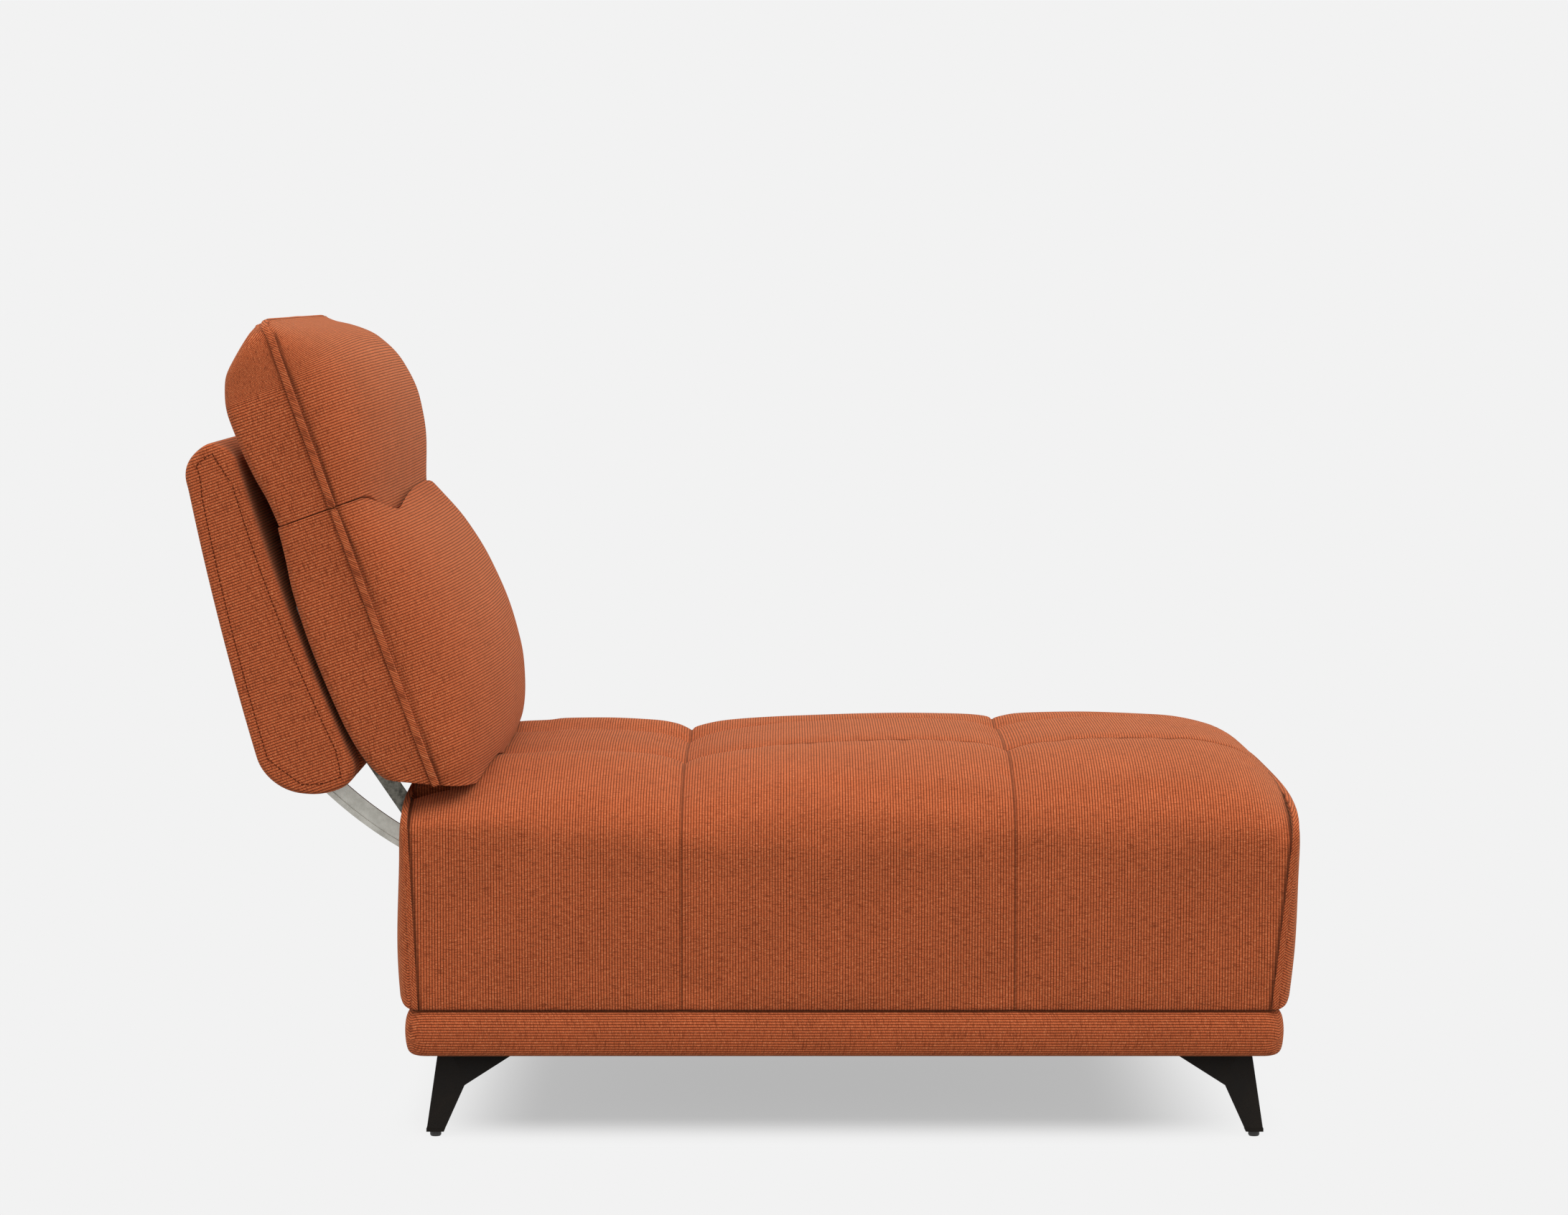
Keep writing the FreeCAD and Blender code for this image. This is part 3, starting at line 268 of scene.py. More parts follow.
class Socket:
    """One output in a material, with arithmetic that adds Math nodes."""

    def __init__(self, finish, socket):
        self.finish, self.socket = finish, socket

    def math(self, operation, *values):
        inputs = dict(enumerate(values))
        return self.finish.node("ShaderNodeMath", {"operation": operation}, inputs)

    def __add__(self, other):
        return self.math("ADD", self, other)

    __radd__ = __add__

    def __mul__(self, other):
        return self.math("MULTIPLY", self, other)

    __rmul__ = __mul__

    def __sub__(self, other):
        return self.math("SUBTRACT", self, other)

    def __rsub__(self, other):
        return self.math("SUBTRACT", other, self)

    def __pow__(self, other):
        return self.math("POWER", self, other)

    def clamp(self):
        return self.math("MINIMUM", self.math("MAXIMUM", self, 0.0), 1.0)

    def ramp(self, low, high):
        """0 below low, 1 above high, smooth between."""
        return self.finish.node("ShaderNodeMapRange", {"interpolation_type": "SMOOTHSTEP"},
                                {"Value": self, "From Min": low, "From Max": high})


class Finish:
    """A node material under construction."""

    def __init__(self, name):
        self.material = bpy.data.materials.new(name)
        self.material.use_nodes = True
        self.tree = self.material.node_tree
        self.tree.nodes.clear()

    def node(self, kind, settings=None, inputs=None, output=0):
        node = self.tree.nodes.new(kind)
        for key, value in (settings or {}).items():
            setattr(node, key, value)
        for key, value in (inputs or {}).items():
            if isinstance(value, Socket):
                self.tree.links.new(value.socket, node.inputs[key])
            else:
                node.inputs[key].default_value = value
        return Socket(self, node.outputs[output])

    def mix(self, factor, first, second, blend="MIX"):
        """A mix of two colours."""
        settings = {"data_type": "RGBA", "blend_type": blend}
        return self.node("ShaderNodeMix", settings, {0: factor, 6: first, 7: second}, 2)

    def noise(self, vector, scale, detail=2.0, roughness=0.5):
        inputs = {"Vector": vector, "Scale": scale, "Detail": detail, "Roughness": roughness}
        return self.node("ShaderNodeTexNoise", None, inputs)

    def place(self):
        """Object coordinates, in metres."""
        return self.node("ShaderNodeTexCoord", None, None, "Object")

    def parts(self, vector):
        split = self.tree.nodes.new("ShaderNodeSeparateXYZ")
        self.tree.links.new(vector.socket, split.inputs[0])
        return [Socket(self, output) for output in split.outputs]

    def vector(self, x, y, z):
        return self.node("ShaderNodeCombineXYZ", None, {0: x, 1: y, 2: z})

    def bump(self, height, distance, strength=1.0):
        inputs = {"Height": height, "Distance": distance, "Strength": strength}
        return self.node("ShaderNodeBump", None, inputs)

    def surface(self, **values):
        """The Principled shader with its sockets set, as the material's surface."""
        inputs = {key.replace("_", " ").title().replace("Ior", "IOR"): value for key, value in values.items()}
        shader = self.node("ShaderNodeBsdfPrincipled", None, inputs)
        self.node_output(shader)
        return self.material

    def node_output(self, shader):
        output = self.tree.nodes.new("ShaderNodeOutputMaterial")
        self.tree.links.new(shader.socket, output.inputs["Surface"])


def rgb(red, green, blue):
    return (red, green, blue, 1.0)


def ribbed_cloth(name, cord_colour, groove_shade_colour, fleck_colour, pale_colour, relief=0.00045):
    """Heathered cloth with round cords: grooves between them painted dark as shade, beads along them and short
    flecks across, and painted shade in seams and creases.
    """
    cloth = Finish(name)
    weave = cloth.node("ShaderNodeAttribute", {"attribute_name": "weave"}, None, "Vector")
    across, along, seam = cloth.parts(weave)
    sway = cloth.noise(cloth.vector(across * 9.0, along * 9.0, 0.0), 1.0, 1.0) - 0.5
    rib_place = across * (1.0 / (RIB_PITCH * MM)) + sway * 0.25
    ridge = cloth.node("ShaderNodeMath", {"operation": "SINE"}, {0: rib_place * math.pi})
    ridge = cloth.node("ShaderNodeMath", {"operation": "ABSOLUTE"}, {0: ridge}) ** 0.65
    rib = cloth.node("ShaderNodeMath", {"operation": "FLOOR"}, {0: rib_place})
    wobble = cloth.noise(cloth.vector(across * 130.0, along * 160.0, 5.0), 1.0, 2.0)
    bead_place = along * (1.0 / (BEAD_PITCH * MM)) + rib * 0.5 + wobble * 1.3
    bead = cloth.node("ShaderNodeMath", {"operation": "SINE"}, {0: bead_place * math.pi})
    bead = cloth.node("ShaderNodeMath", {"operation": "ABSOLUTE"}, {0: bead}) ** 0.5
    fleck = cloth.noise(cloth.vector(across * 75.0, along * 620.0, 3.0), 1.0, 3.0, 0.6)
    slub = cloth.noise(cloth.vector(across * 330.0, along * 420.0, 7.0), 1.0, 2.0, 0.6)
    cloud = cloth.noise(cloth.vector(across * 9.0, along * 13.0, 0.0), 1.0, 4.0, 0.6)
    raised = ridge * (bead * 0.45 + 0.55)
    # Painted shade: the grooves between the cords and the gaps between the beads take the dark groove colour.
    colour = cloth.mix(raised.ramp(0.22, 0.82), groove_shade_colour, cord_colour)
    colour = cloth.mix(slub.ramp(0.50, 0.72) * raised * 0.75, colour, pale_colour)
    colour = cloth.mix(fleck.ramp(0.50, 0.66) * 0.62, colour, fleck_colour)
    shade = cloud * 0.30 + 0.85
    colour = cloth.mix(1.0, colour, cloth.vector(shade, shade, shade), "MULTIPLY")
    # Painted shade: the weave's third value darkens the cloth to near black in seam creases, along stitched
    # lines and where covers meet other parts.
    colour = cloth.mix(seam.clamp() * 0.75, colour, rgb(0.05, 0.012, 0.005))
    height = raised + slub * 0.4
    normal = cloth.bump(height, relief, 0.9)
    return cloth.surface(base_color=colour, roughness=0.88, normal=normal,
                         sheen_weight=0.26, sheen_roughness=0.5, sheen_tint=rgb(1.0, 0.55, 0.30), specular_ior_level=0.08)


def thread_finish():
    """Twisted sewing thread, darker than the cloth."""
    thread = Finish("sewing_thread")
    twist = thread.noise(thread.place(), 1900.0, 1.0)
    colour = thread.mix(twist, rgb(0.085, 0.017, 0.006), rgb(0.17, 0.036, 0.012))
    return thread.surface(base_color=colour, roughness=0.8, specular_ior_level=0.05,
                          normal=thread.bump(twist, 0.0002))


def satin_black():
    """Powder coated sheet: nearly black, with a fine orange peel and small scuffs."""
    coat = Finish("satin_black_coat")
    place = coat.place()
    peel = coat.noise(place, 900.0, 2.0)
    scuff = coat.noise(place, 38.0, 5.0, 0.7)
    colour = coat.mix(scuff.ramp(0.35, 0.8), rgb(0.0056, 0.0038, 0.0024), rgb(0.0105, 0.0070, 0.0044))
    return coat.surface(base_color=colour, roughness=scuff * 0.2 + 0.38, normal=coat.bump(peel, 0.00012),
                        specular_ior_level=0.14)


def rolled_steel(name, dark, light, stretch, roughness, mottle):
    """Steel with fine lines along the bar, faint mottling and tiny scratches."""
    steel = Finish(name)
    place = steel.place()
    x, y, z = steel.parts(place)
    lines = steel.noise(steel.vector(x * stretch[0], y * stretch[1], z * stretch[2]), 1.0, 3.0, 0.6)
    cloud = steel.noise(place, 60.0, 5.0, 0.68)
    speck = steel.noise(place, 640.0, 3.0, 0.6)
    colour = steel.mix(cloud.ramp(0.5 - mottle, 0.5 + mottle), dark, light)
    colour = steel.mix(speck.ramp(0.58, 0.72) * 0.35, colour, dark)
    return steel.surface(base_color=colour, metallic=0.92, roughness=lines * 0.14 + cloud * 0.10 + roughness,
                         normal=steel.bump(lines + speck * 0.6, 0.00012))


def board_wood():
    """Plain sawn board with long grain, pores and a little colour drift."""
    wood = Finish("plain_board")
    x, y, z = wood.parts(wood.place())
    drift = wood.noise(wood.vector(x * 3.0, y * 3.0, z * 30.0), 1.0, 3.0)
    grain = wood.node("ShaderNodeTexWave", {"wave_type": "BANDS", "bands_direction": "Z"},
                      {"Vector": wood.vector(x * 1.0, y * 1.0, z * 60.0 + drift * 5.0), "Scale": 1.0,
                       "Distortion": 3.0, "Detail": 3.0}, "Fac")
    pores = wood.noise(wood.vector(x * 60.0, y * 60.0, z * 900.0), 1.0, 2.0)
    colour = wood.mix(grain * 0.7, rgb(0.56, 0.40, 0.24), rgb(0.38, 0.24, 0.12))
    colour = wood.mix(pores.ramp(0.6, 0.75) * 0.4, colour, rgb(0.22, 0.13, 0.06))
    return wood.surface(base_color=colour, roughness=grain * 0.15 + 0.55,
                        normal=wood.bump(grain + pores, 0.0003))


def cut_foam():
    """Open cells on a cut face, cream going a little yellow."""
    foam = Finish("cut_foam")
    place = foam.place()
    cells = foam.node("ShaderNodeTexVoronoi", {"feature": "F1"}, {"Vector": place, "Scale": 700.0}, "Distance")
    tint = foam.noise(place, 9.0, 3.0)
    colour = foam.mix(tint, rgb(0.80, 0.74, 0.56), rgb(0.72, 0.62, 0.40))
    colour = foam.mix(cells.ramp(0.35, 0.75) * 0.4, colour, rgb(0.45, 0.36, 0.2))
    return foam.surface(base_color=colour, roughness=0.95, normal=foam.bump(cells, 0.0006))


def woven_band(name, dark, light, pitch):
    """A plain weave of two threads over and under."""
    band = Finish(name)
    x, y, z = band.parts(band.place())
    turns = 2 * math.pi / pitch
    warp = band.node("ShaderNodeMath", {"operation": "SINE"}, {0: x * turns})
    weft = band.node("ShaderNodeMath", {"operation": "SINE"}, {0: (y + z) * turns})
    over = warp * weft * 0.5 + 0.5
    fuzz = band.noise(band.place(), 800.0, 3.0)
    colour = band.mix((over * 0.7 + fuzz * 0.3).clamp(), dark, light)
    return band.surface(base_color=colour, roughness=0.85, normal=band.bump(over + fuzz * 0.4, 0.0004))


def moulded(name, colour, roughness, grain):
    """Moulded plastic or rubber with a fine eroded grain."""
    plastic = Finish(name)
    place = plastic.place()
    fine = plastic.noise(place, grain, 3.0)
    cloud = plastic.noise(place, 45.0, 3.0)
    darker = rgb(*[channel * 0.72 for channel in colour[:3]])
    tint = plastic.mix(cloud.ramp(0.3, 0.8), colour, darker)
    return plastic.surface(base_color=tint, roughness=fine * 0.2 + roughness,
                           normal=plastic.bump(fine, 0.00015))


# The second colour is painted shade, for the grooves between the cords.
cloth = ribbed_cloth("ribbed_terracotta", rgb(0.57, 0.130, 0.044), rgb(0.085, 0.014, 0.005),
                     rgb(0.16, 0.028, 0.009), rgb(0.80, 0.27, 0.11))
thread = thread_finish()
FINISHES = {
    "upholstery_fabric": cloth,
    "foam": cut_foam(),
    "webbing": woven_band("elastic_webbing", rgb(0.03, 0.03, 0.035), rgb(0.16, 0.16, 0.17), 0.004),
    "dust_cloth": woven_band("spunbond_cloth", rgb(0.008, 0.008, 0.008), rgb(0.03, 0.03, 0.03), 0.0025),
    "frame_wood": board_wood(),
    "rubber": moulded("black_rubber", rgb(0.022, 0.022, 0.021), 0.6, 1200.0),
    "black_metal": satin_black(),
    "glide_plastic": moulded("dark_nylon", rgb(0.03, 0.028, 0.026), 0.42, 900.0),
    "washer_plastic": moulded("pale_nylon", rgb(0.62, 0.60, 0.55), 0.4, 900.0),
    "link_steel": rolled_steel("zinc_link_steel", rgb(0.36, 0.35, 0.31), rgb(0.56, 0.55, 0.50),
                               (60.0, 900.0, 60.0), 0.24, 0.3),
    "dark_steel": rolled_steel("oiled_link_steel", rgb(0.035, 0.034, 0.028), rgb(0.17, 0.165, 0.14),
                               (90.0, 900.0, 90.0), 0.2, 0.14),
    "plain_steel": rolled_steel("mill_steel", rgb(0.28, 0.28, 0.27), rgb(0.48, 0.48, 0.46),
                                (120.0, 400.0, 120.0), 0.28, 0.25),
    "fastener_steel": rolled_steel("zinc_fasteners", rgb(0.48, 0.48, 0.45), rgb(0.70, 0.70, 0.66),
                                   (500.0, 500.0, 500.0), 0.2, 0.3),
}
for subpart in frame["record"]["subparts"]:
    node = frame["nodes"][subpart["node"]]
    node.data.materials.clear()
    node.data.materials.append(FINISHES[subpart["material_slot"]])


# Seat

def seat_lean(s, z):
    """How far a station of the seat leans along X at a height, as the end seams do."""
    rear = smooth(1.0 - (s - REAR_FOOT) / LEAN_REACH)
    front = smooth(1.0 - (FRONT_FOOT - s) / LEAN_REACH)
    return (REAR_LEAN * rear + FRONT_LEAN * front) * (z - SEAM_BOTTOM) / (SEAM_REFERENCE - SEAM_BOTTOM)


def seat_values(x):
    """Side height, middle height, strip bump and line dip of the seat's top at X."""
    x = np.asarray(x, float)
    result = []
    for column in range(1, 5):
        values = np.where(x < TUFT_SEAMS[0], along_curve(REAR_FIELD, column, x),
                          np.where(x < TUFT_SEAMS[1], along_curve(MIDDLE_FIELD, column, x),
                                   along_curve(FRONT_FIELD, column, x)))
        result.append(values)
    return result


def seat_top(x, y):
    """Height of the seat's upholstered top."""
    z_side, z_middle, bump, dip = seat_values(x)
    between = smooth(np.minimum(x + 390.0, 620.0 - x) / 170.0)
    z_side = z_side - SHOULDER_DROP * between
    power = SHOULDER_POWER + SHOULDER_SPREAD * between
    across = np.clip(np.abs(y) / HALF, 0.0, 1.0)
    dome = (1.0 - across ** power) ** (1.0 / power)
    strip = np.abs(y) - STRIP_CENTRE
    reach = np.where(strip < 0, *STRIP_REACH)
    hump = np.cos(np.clip(strip / reach, -1.0, 1.0) * math.pi / 2) ** 2
    away = np.abs(np.abs(y) - STITCH_LINE)
    sewn = smooth((x - TUFT_SEAMS[0] + 6.0) / 8.0) * smooth((STITCHES_END - x) / 30.0)
    valley = 0.5 * np.exp(-away / 20.0) + 0.5 * np.exp(-(away / 40.0) ** 2)
    groove = sewn * (1.6 * np.exp(-away / 2.2) + 1.3 * np.exp(-away / 9.0))
    seams = sum(np.exp(-np.abs(x - seam) / 2.6) * 1.6 + np.exp(-np.abs(x - seam) / 11.0) * 1.8
                for seam in TUFT_SEAMS)
    tufted = bump * hump - dip * valley - groove - seams * np.minimum(1.0, dome * 2.5)
    return z_side + (z_middle - z_side) * dome + tufted


def seat_stations():
    stations = set(np.linspace(REAR_FOOT, FRONT_FOOT, 88).round(2))
    for seam in TUFT_SEAMS:
        stations = {s for s in stations if abs(s - seam) > 16.0}
        stations |= {seam + offset for offset in (-14.0, -8.0, -4.0, -1.6, 0.0, 1.6, 4.0, 8.0, 14.0)}
    stations |= {REAR_FOOT + 2.0, REAR_FOOT + 5.0, FRONT_FOOT - 2.0, FRONT_FOOT - 5.0}
    return np.array(sorted(stations))


def seat_columns():
    half = [0, 13, 26, 39, 52, 65, 78, 90, 100, 108, 113, 115.6, 117, 118.4, 121, 126, 134, 146, 160, 175,
            190, 205, 220, 235, 250, 264, 276, 287, 297, 306, 314, 321, 327, 332.5, 337, 340.5, 343.5, 346, 348,
            349.3, 350]
    return np.array([-y for y in half[:0:-1]] + half, float)


SIDE_ROWS = np.array([0, 1.2, 3, 6, 12, 24, 42, 62, 84, 106, 128, 150, 172, 192, 206, 214, 218.5]) / 218.5


def seat_weave(x, y, z):
    """Ribs run round the block at constant X; the third value is painted shade in the seam creases, along the
    stitched lines and at the bottom and end seams.
    """
    side = np.sign(y)
    along = side * (np.abs(y) + 450.0 - z)
    # The seam, foot, sewn and ends masks are painted shade, darkening the cloth in the creases of the seams and
    # stitched lines.
    seam = sum(np.exp(-((x - line) / 0.9) ** 2) for line in TUFT_SEAMS) * (x > -300)
    foot = np.exp(-((z - SEAM_BOTTOM) / 1.6) ** 2)
    sewn = np.exp(-((np.abs(y) - STITCH_LINE) / 3.2) ** 2) * (x > TUFT_SEAMS[0]) * (z > 300)
    s = x - (FRONT_LEAN * (x > 300) + REAR_LEAN * (x < 0)) * (z - SEAM_BOTTOM) / (SEAM_REFERENCE - SEAM_BOTTOM)
    ends = np.exp(-((s - FRONT_FOOT + 1.5) / 2.2) ** 2) + np.exp(-((s - REAR_FOOT - 1.5) / 2.2) ** 2)
    return x * MM, along * MM, np.maximum.reduce([seam, foot, sewn, ends])


def link_rooms(grow):
    """Room for the links at the rear of the seat, left and right, as polygons and ranges of Y."""
    rooms = []
    for side in (-1, 1):
        low, high = sorted((side * (LINK_ROOM_Y[0] + grow), side * (LINK_ROOM_Y[1] - grow)))
        outline = [(-450, 304 + grow), (-303 - grow, 304 + grow), (-303 - grow, 395), (-345 - grow, 395),
                   (-345 - grow, 470), (-450, 470)]
        rooms.append((outline, (low, high)))
    return rooms


def seat_cover():
    stations, columns = seat_stations(), seat_columns()
    places, faces = block_skin(len(stations) - 1, len(columns) - 1, len(SIDE_ROWS) - 1)
    s, y, row = stations[places[:, 0]], columns[places[:, 1]], SIDE_ROWS[places[:, 2]]
    x_top = s + seat_lean(s, 395.0)
    z = SEAM_BOTTOM + row * (seat_top(x_top, y) - SEAM_BOTTOM)
    x = s + seat_lean(s, z)
    drawn = sum(np.exp(-np.abs(x - seam) / 1.8) * 1.1 + np.exp(-np.abs(x - seam) / 16.0) * 1.0
                for seam in TUFT_SEAMS)
    tuck = 3.0 * np.exp(-(z - SEAM_BOTTOM) / 3.0)
    swell = 1.2 * np.sin(np.pi * np.clip((z - SEAM_BOTTOM) / 220.0, 0, 1))
    on_side = smooth((np.abs(y) - 300.0) / 50.0)
    y = y + np.sign(y) * on_side * (swell - drawn - tuck)
    piece = new_piece("seat_cover", np.stack([x, y, z], 1), faces, "base", cloth)
    near_seam = np.minimum.reduce([np.abs(x - seam) for seam in TUFT_SEAMS]) < 3.0
    sewn = (np.abs(np.abs(y) - STITCH_LINE) < 3.0) & (x > TUFT_SEAMS[0])
    under_back = x < -250.0
    ends = (places[:, 0] == 0) | (places[:, 0] == len(stations) - 1)
    puff(piece, near_seam | sewn | under_back | ends | (row < 0.03), 2.0)
    subdivide(piece)
    cut_rooms(piece, link_rooms(LINK_ROOM_GROWTH))
    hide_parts("seat_cushion", "side_pad_left", "side_pad_right", "front_pad", "rear_pad")
    finish_cover(piece, seat_weave)
    return piece


# End borders and their flanges

BORDER_RIM = 22.0
BORDER_OUT = 16.5
BORDER_CROWN = 4.5
BORDER_SAG = 0.28                         # how much more the end panels stand out low down, and less high up


def border_weave(seam_x):
    def weave(x, y, z):
        out = np.abs(x - seam_x)
        # foot is painted shade, darkening the end panel along its bottom seam.
        foot = np.exp(-((z - SEAM_BOTTOM) / 2.0) ** 2)
        return (z - 0.6 * out) * MM, y * MM, foot
    return weave


def border_pad(name, node, foot, lean, z_side, z_top, outward, rooms):
    """A padded end panel, sewn in along its outline and rounding out to a slightly crowned face."""
    columns = seat_columns()
    rows = np.array([0, 2, 5, 9, 14, 20, 28, 40, 55, 72, 90, 110, 130, 150, 168, 182, 194, 204, 212, 218, 223,
                     227, 229]) / 229.0
    depth = np.array([0, 0.08, 0.18, 0.3, 0.45, 0.65, 1.0])
    places, faces = block_skin(len(columns) - 1, len(depth) - 1, len(rows) - 1)
    y, turn, row = columns[places[:, 0]], depth[places[:, 1]] * math.pi / 2, rows[places[:, 2]]
    front = places[:, 1] == len(depth) - 1
    inset = BORDER_RIM * (1.0 - np.cos(turn))
    out = BORDER_OUT * np.sin(turn)
    across = np.abs(y) / HALF
    dome = (1.0 - across ** 3.4) ** (1.0 / 3.4)
    low = SEAM_BOTTOM + 0.3 + 0.6 * inset
    arch = z_side - inset + (z_top - z_side) * dome
    y_in = np.sign(y) * (np.abs(y) - 0.5 * across - inset * across ** 3)
    z = low + row * (arch - low)
    height = arch - low
    edge = np.minimum.reduce([(1.0 - across) * HALF, row * height, (1.0 - row) * height * (0.25 + 0.75 * dome)])
    out = out + np.where(front, BORDER_CROWN * (1.0 - np.exp(-edge / 38.0)), 0.0)
    out = out * (1.0 + BORDER_SAG * (1.0 - 2.0 * smooth((z - 200.0) / 170.0)))
    x = foot + lean * (z - SEAM_BOTTOM) / (SEAM_REFERENCE - SEAM_BOTTOM) + outward * (out + 0.4)
    piece = new_piece(name, np.stack([x, y_in, z], 1), faces, "base", cloth)
    subdivide(piece)
    if rooms:
        cut_rooms(piece, rooms)
    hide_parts(node)
    finish_cover(piece, border_weave(foot + lean))


def band(name, path, outward, width_axis, width, thick, body, weave):
    """A flat sewn band with rounded edges along a path: flat side outwards, its width along width_axis."""
    path, outward, width_axis = [np.asarray(a, float) for a in (path, outward, width_axis)]
    outward = outward / np.linalg.norm(outward, axis=1)[:, None]
    width_axis = width_axis / np.linalg.norm(width_axis, axis=1)[:, None]
    profile = [(-0.5, -0.6), (-0.5, 0.1), (-0.42, 0.42), (-0.2, 0.5), (0.0, 0.46), (0.2, 0.5), (0.42, 0.42),
               (0.5, 0.1), (0.5, -0.6)]
    rings = [path + width * a * width_axis + thick * b * outward for a, b in profile]
    points = np.stack(rings, 1).reshape(-1, 3)
    piece = new_piece(name, points, ring_faces(len(path), len(profile), False), body, cloth)
    subdivide(piece)
    finish_cover(piece, weave, sharp=75.0)


def end_flange(name, foot, lean, z_side, z_top, outward):
    """The flange that stands along an end seam, up one side, over the top and down the other."""
    heights = np.arange(SEAM_BOTTOM + 1.0, z_side, 9.0)
    angles = np.linspace(0.0, math.pi / 2, 22)
    arc_y = HALF * np.cos(angles) ** (2 / 3.4)
    arc_z = z_side + (z_top - z_side) * np.sin(angles) ** (2 / 3.4)
    y = np.concatenate([np.full(len(heights), HALF), arc_y])
    z = np.concatenate([heights, arc_z])
    y, z = np.concatenate([-y, y[-2::-1]]), np.concatenate([z, z[-2::-1]])
    x = foot + lean * (z - SEAM_BOTTOM) / (SEAM_REFERENCE - SEAM_BOTTOM) + outward * 3.6
    upward = np.where(z > z_side, (z - z_side) / (z_top - z_side), 0.0) ** 1.5
    normal = np.stack([np.zeros_like(y), y / HALF, upward], 1)
    path = np.stack([x, y, z], 1) + normal / np.linalg.norm(normal, axis=1)[:, None] * 0.8
    width_axis = np.tile([outward * 1.0, 0.0, 0.0], (len(path), 1))

    def weave(x, y, z):
        return (z - np.abs(x)) * MM, (y + x) * MM, 0.0
    band(name, path, normal, width_axis, 7.2, 3.4, "base", weave)


# Plinth

PLINTH_X = (-394.0, 610.0)
PLINTH_Z = (98.8, 152.7)
PLINTH_CORNER = 24.0


def plinth_path():
    """Places and outward directions round the plinth's outline, a rectangle with rounded corners."""
    spots, directions = [], []
    x0, x1 = PLINTH_X
    corners = ((x1, HALF, 0), (x0, HALF, 90), (x0, -HALF, 180), (x1, -HALF, 270))
    for x, y, start in corners:
        centre = np.array([x - math.copysign(PLINTH_CORNER, x), y - math.copysign(PLINTH_CORNER, y)])
        for step in range(9):
            angle = math.radians(start + step * 90 / 8)
            direction = np.array([math.cos(angle), math.sin(angle)])
            spots.append(centre + PLINTH_CORNER * direction)
            directions.append(direction)
    spots, directions = np.array(spots), np.array(directions)
    full_spots, full_directions = [], []
    for i in range(len(spots)):
        j = (i + 1) % len(spots)
        steps = max(1, int(np.linalg.norm(spots[j] - spots[i]) / 14.0))
        for k in range(steps):
            t = k / steps
            full_spots.append(spots[i] * (1 - t) + spots[j] * t)
            full_directions.append(directions[i] * (1 - t) + directions[j] * t)
    return np.array(full_spots), np.array(full_directions)


def plinth_cover():
    spots, directions = plinth_path()
    z0, z1 = PLINTH_Z
    profile = [(30.0, z0 + 0.2), (22.0, z0 + 0.2), (14.0, z0 + 0.1), (9.0, z0 + 0.6), (5.0, z0 + 2.3),
               (2.2, z0 + 5.2), (0.6, z0 + 9.5), (-0.6, z0 + 16.0), (-1.3, z0 + 24.0), (-1.4, z0 + 31.0),
               (-0.8, z0 + 38.5), (0.3, z0 + 44.5), (2.0, z0 + 49.0), (4.6, z1 - 0.9), (9.0, z1 - 0.1),
               (18.0, z1), (30.0, z1)]
    rings = []
    for (x, y), (nx, ny) in zip(spots, directions):
        rings += [(x - inset * nx, y - inset * ny, z) for inset, z in profile]
    piece = new_piece("plinth_cover", rings, ring_faces(len(spots), len(profile), True), "base", cloth)
    subdivide(piece)
    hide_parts("plinth_left", "plinth_right", "plinth_front", "plinth_rear")

    def weave(x, y, z):
        inset = np.minimum.reduce([HALF - np.abs(y), x - PLINTH_X[0], PLINTH_X[1] - x])
        under = np.where(z < z0 + 20, -1.0, 1.0) * np.clip(inset, 0, 40)
        # seam is painted shade, darkening the plinth's top edge where the seat sits on it.
        seam = np.exp(-((z - z1) / 1.2) ** 2) * 0.8
        return (z + 0.5 * under) * MM, (x + y) * MM, seam
    finish_cover(piece, weave)


# Rear panel

def arc_points(start, middle, end, count):
    """Places on the circle arc through three places, without its end."""
    a, b, c = [complex(*spot) for spot in (start, middle, end)]
    w = (c - a) / (b - a)
    if abs(w.imag) < 1e-9:
        return [start]
    centre = (b - a) * (w - abs(w) ** 2) / (2j * w.imag) + a
    radius = abs(a - centre)
    angles = [math.atan2((p - centre).imag, (p - centre).real) for p in (a, b, c)]
    sweep = (angles[2] - angles[0]) % (2 * math.pi)
    if (angles[1] - angles[0]) % (2 * math.pi) > sweep:
        sweep -= 2 * math.pi
    return [(centre.real + radius * math.cos(angles[0] + sweep * k / count),
             centre.imag + radius * math.sin(angles[0] + sweep * k / count)) for k in range(count)]


def panel_outline(inset, bulge):
    """The panel's outline, drawn in by an inset, as (u, v) places."""
    i = inset
    runs = (((416 - i, -90 - i), (244, -94 - i), (66 + i, -85 - i), 30),
            ((66 + i, -85 - i), (46 + i, -88 - i), (36 + i, -103), 5),
            ((36 + i, -103), (36 + i, -126), (43 + i, -148), 5),
            ((43 + i, -148), (63 + i, -174.5 + i), (96, -187 + i), 8),
            ((96, -187 + i), (262, -172.5 + i - bulge), (416 - i, -152.5 + i), 30),
            ((416 - i, -152.5 + i), (436.5 - i, -147.5 + i), (448.5 - i, -134), 5),
            ((448.5 - i, -134), (453 - i, -123), (455.0 - i, -112), 3),
            ((455.0 - i, -112), (445 - i, -97 - i), (416 - i, -90 - i), 6))
    spots = []
    for start, middle, end, count in runs:
        spots += arc_points(start, middle, end, count)
    return np.array(spots)


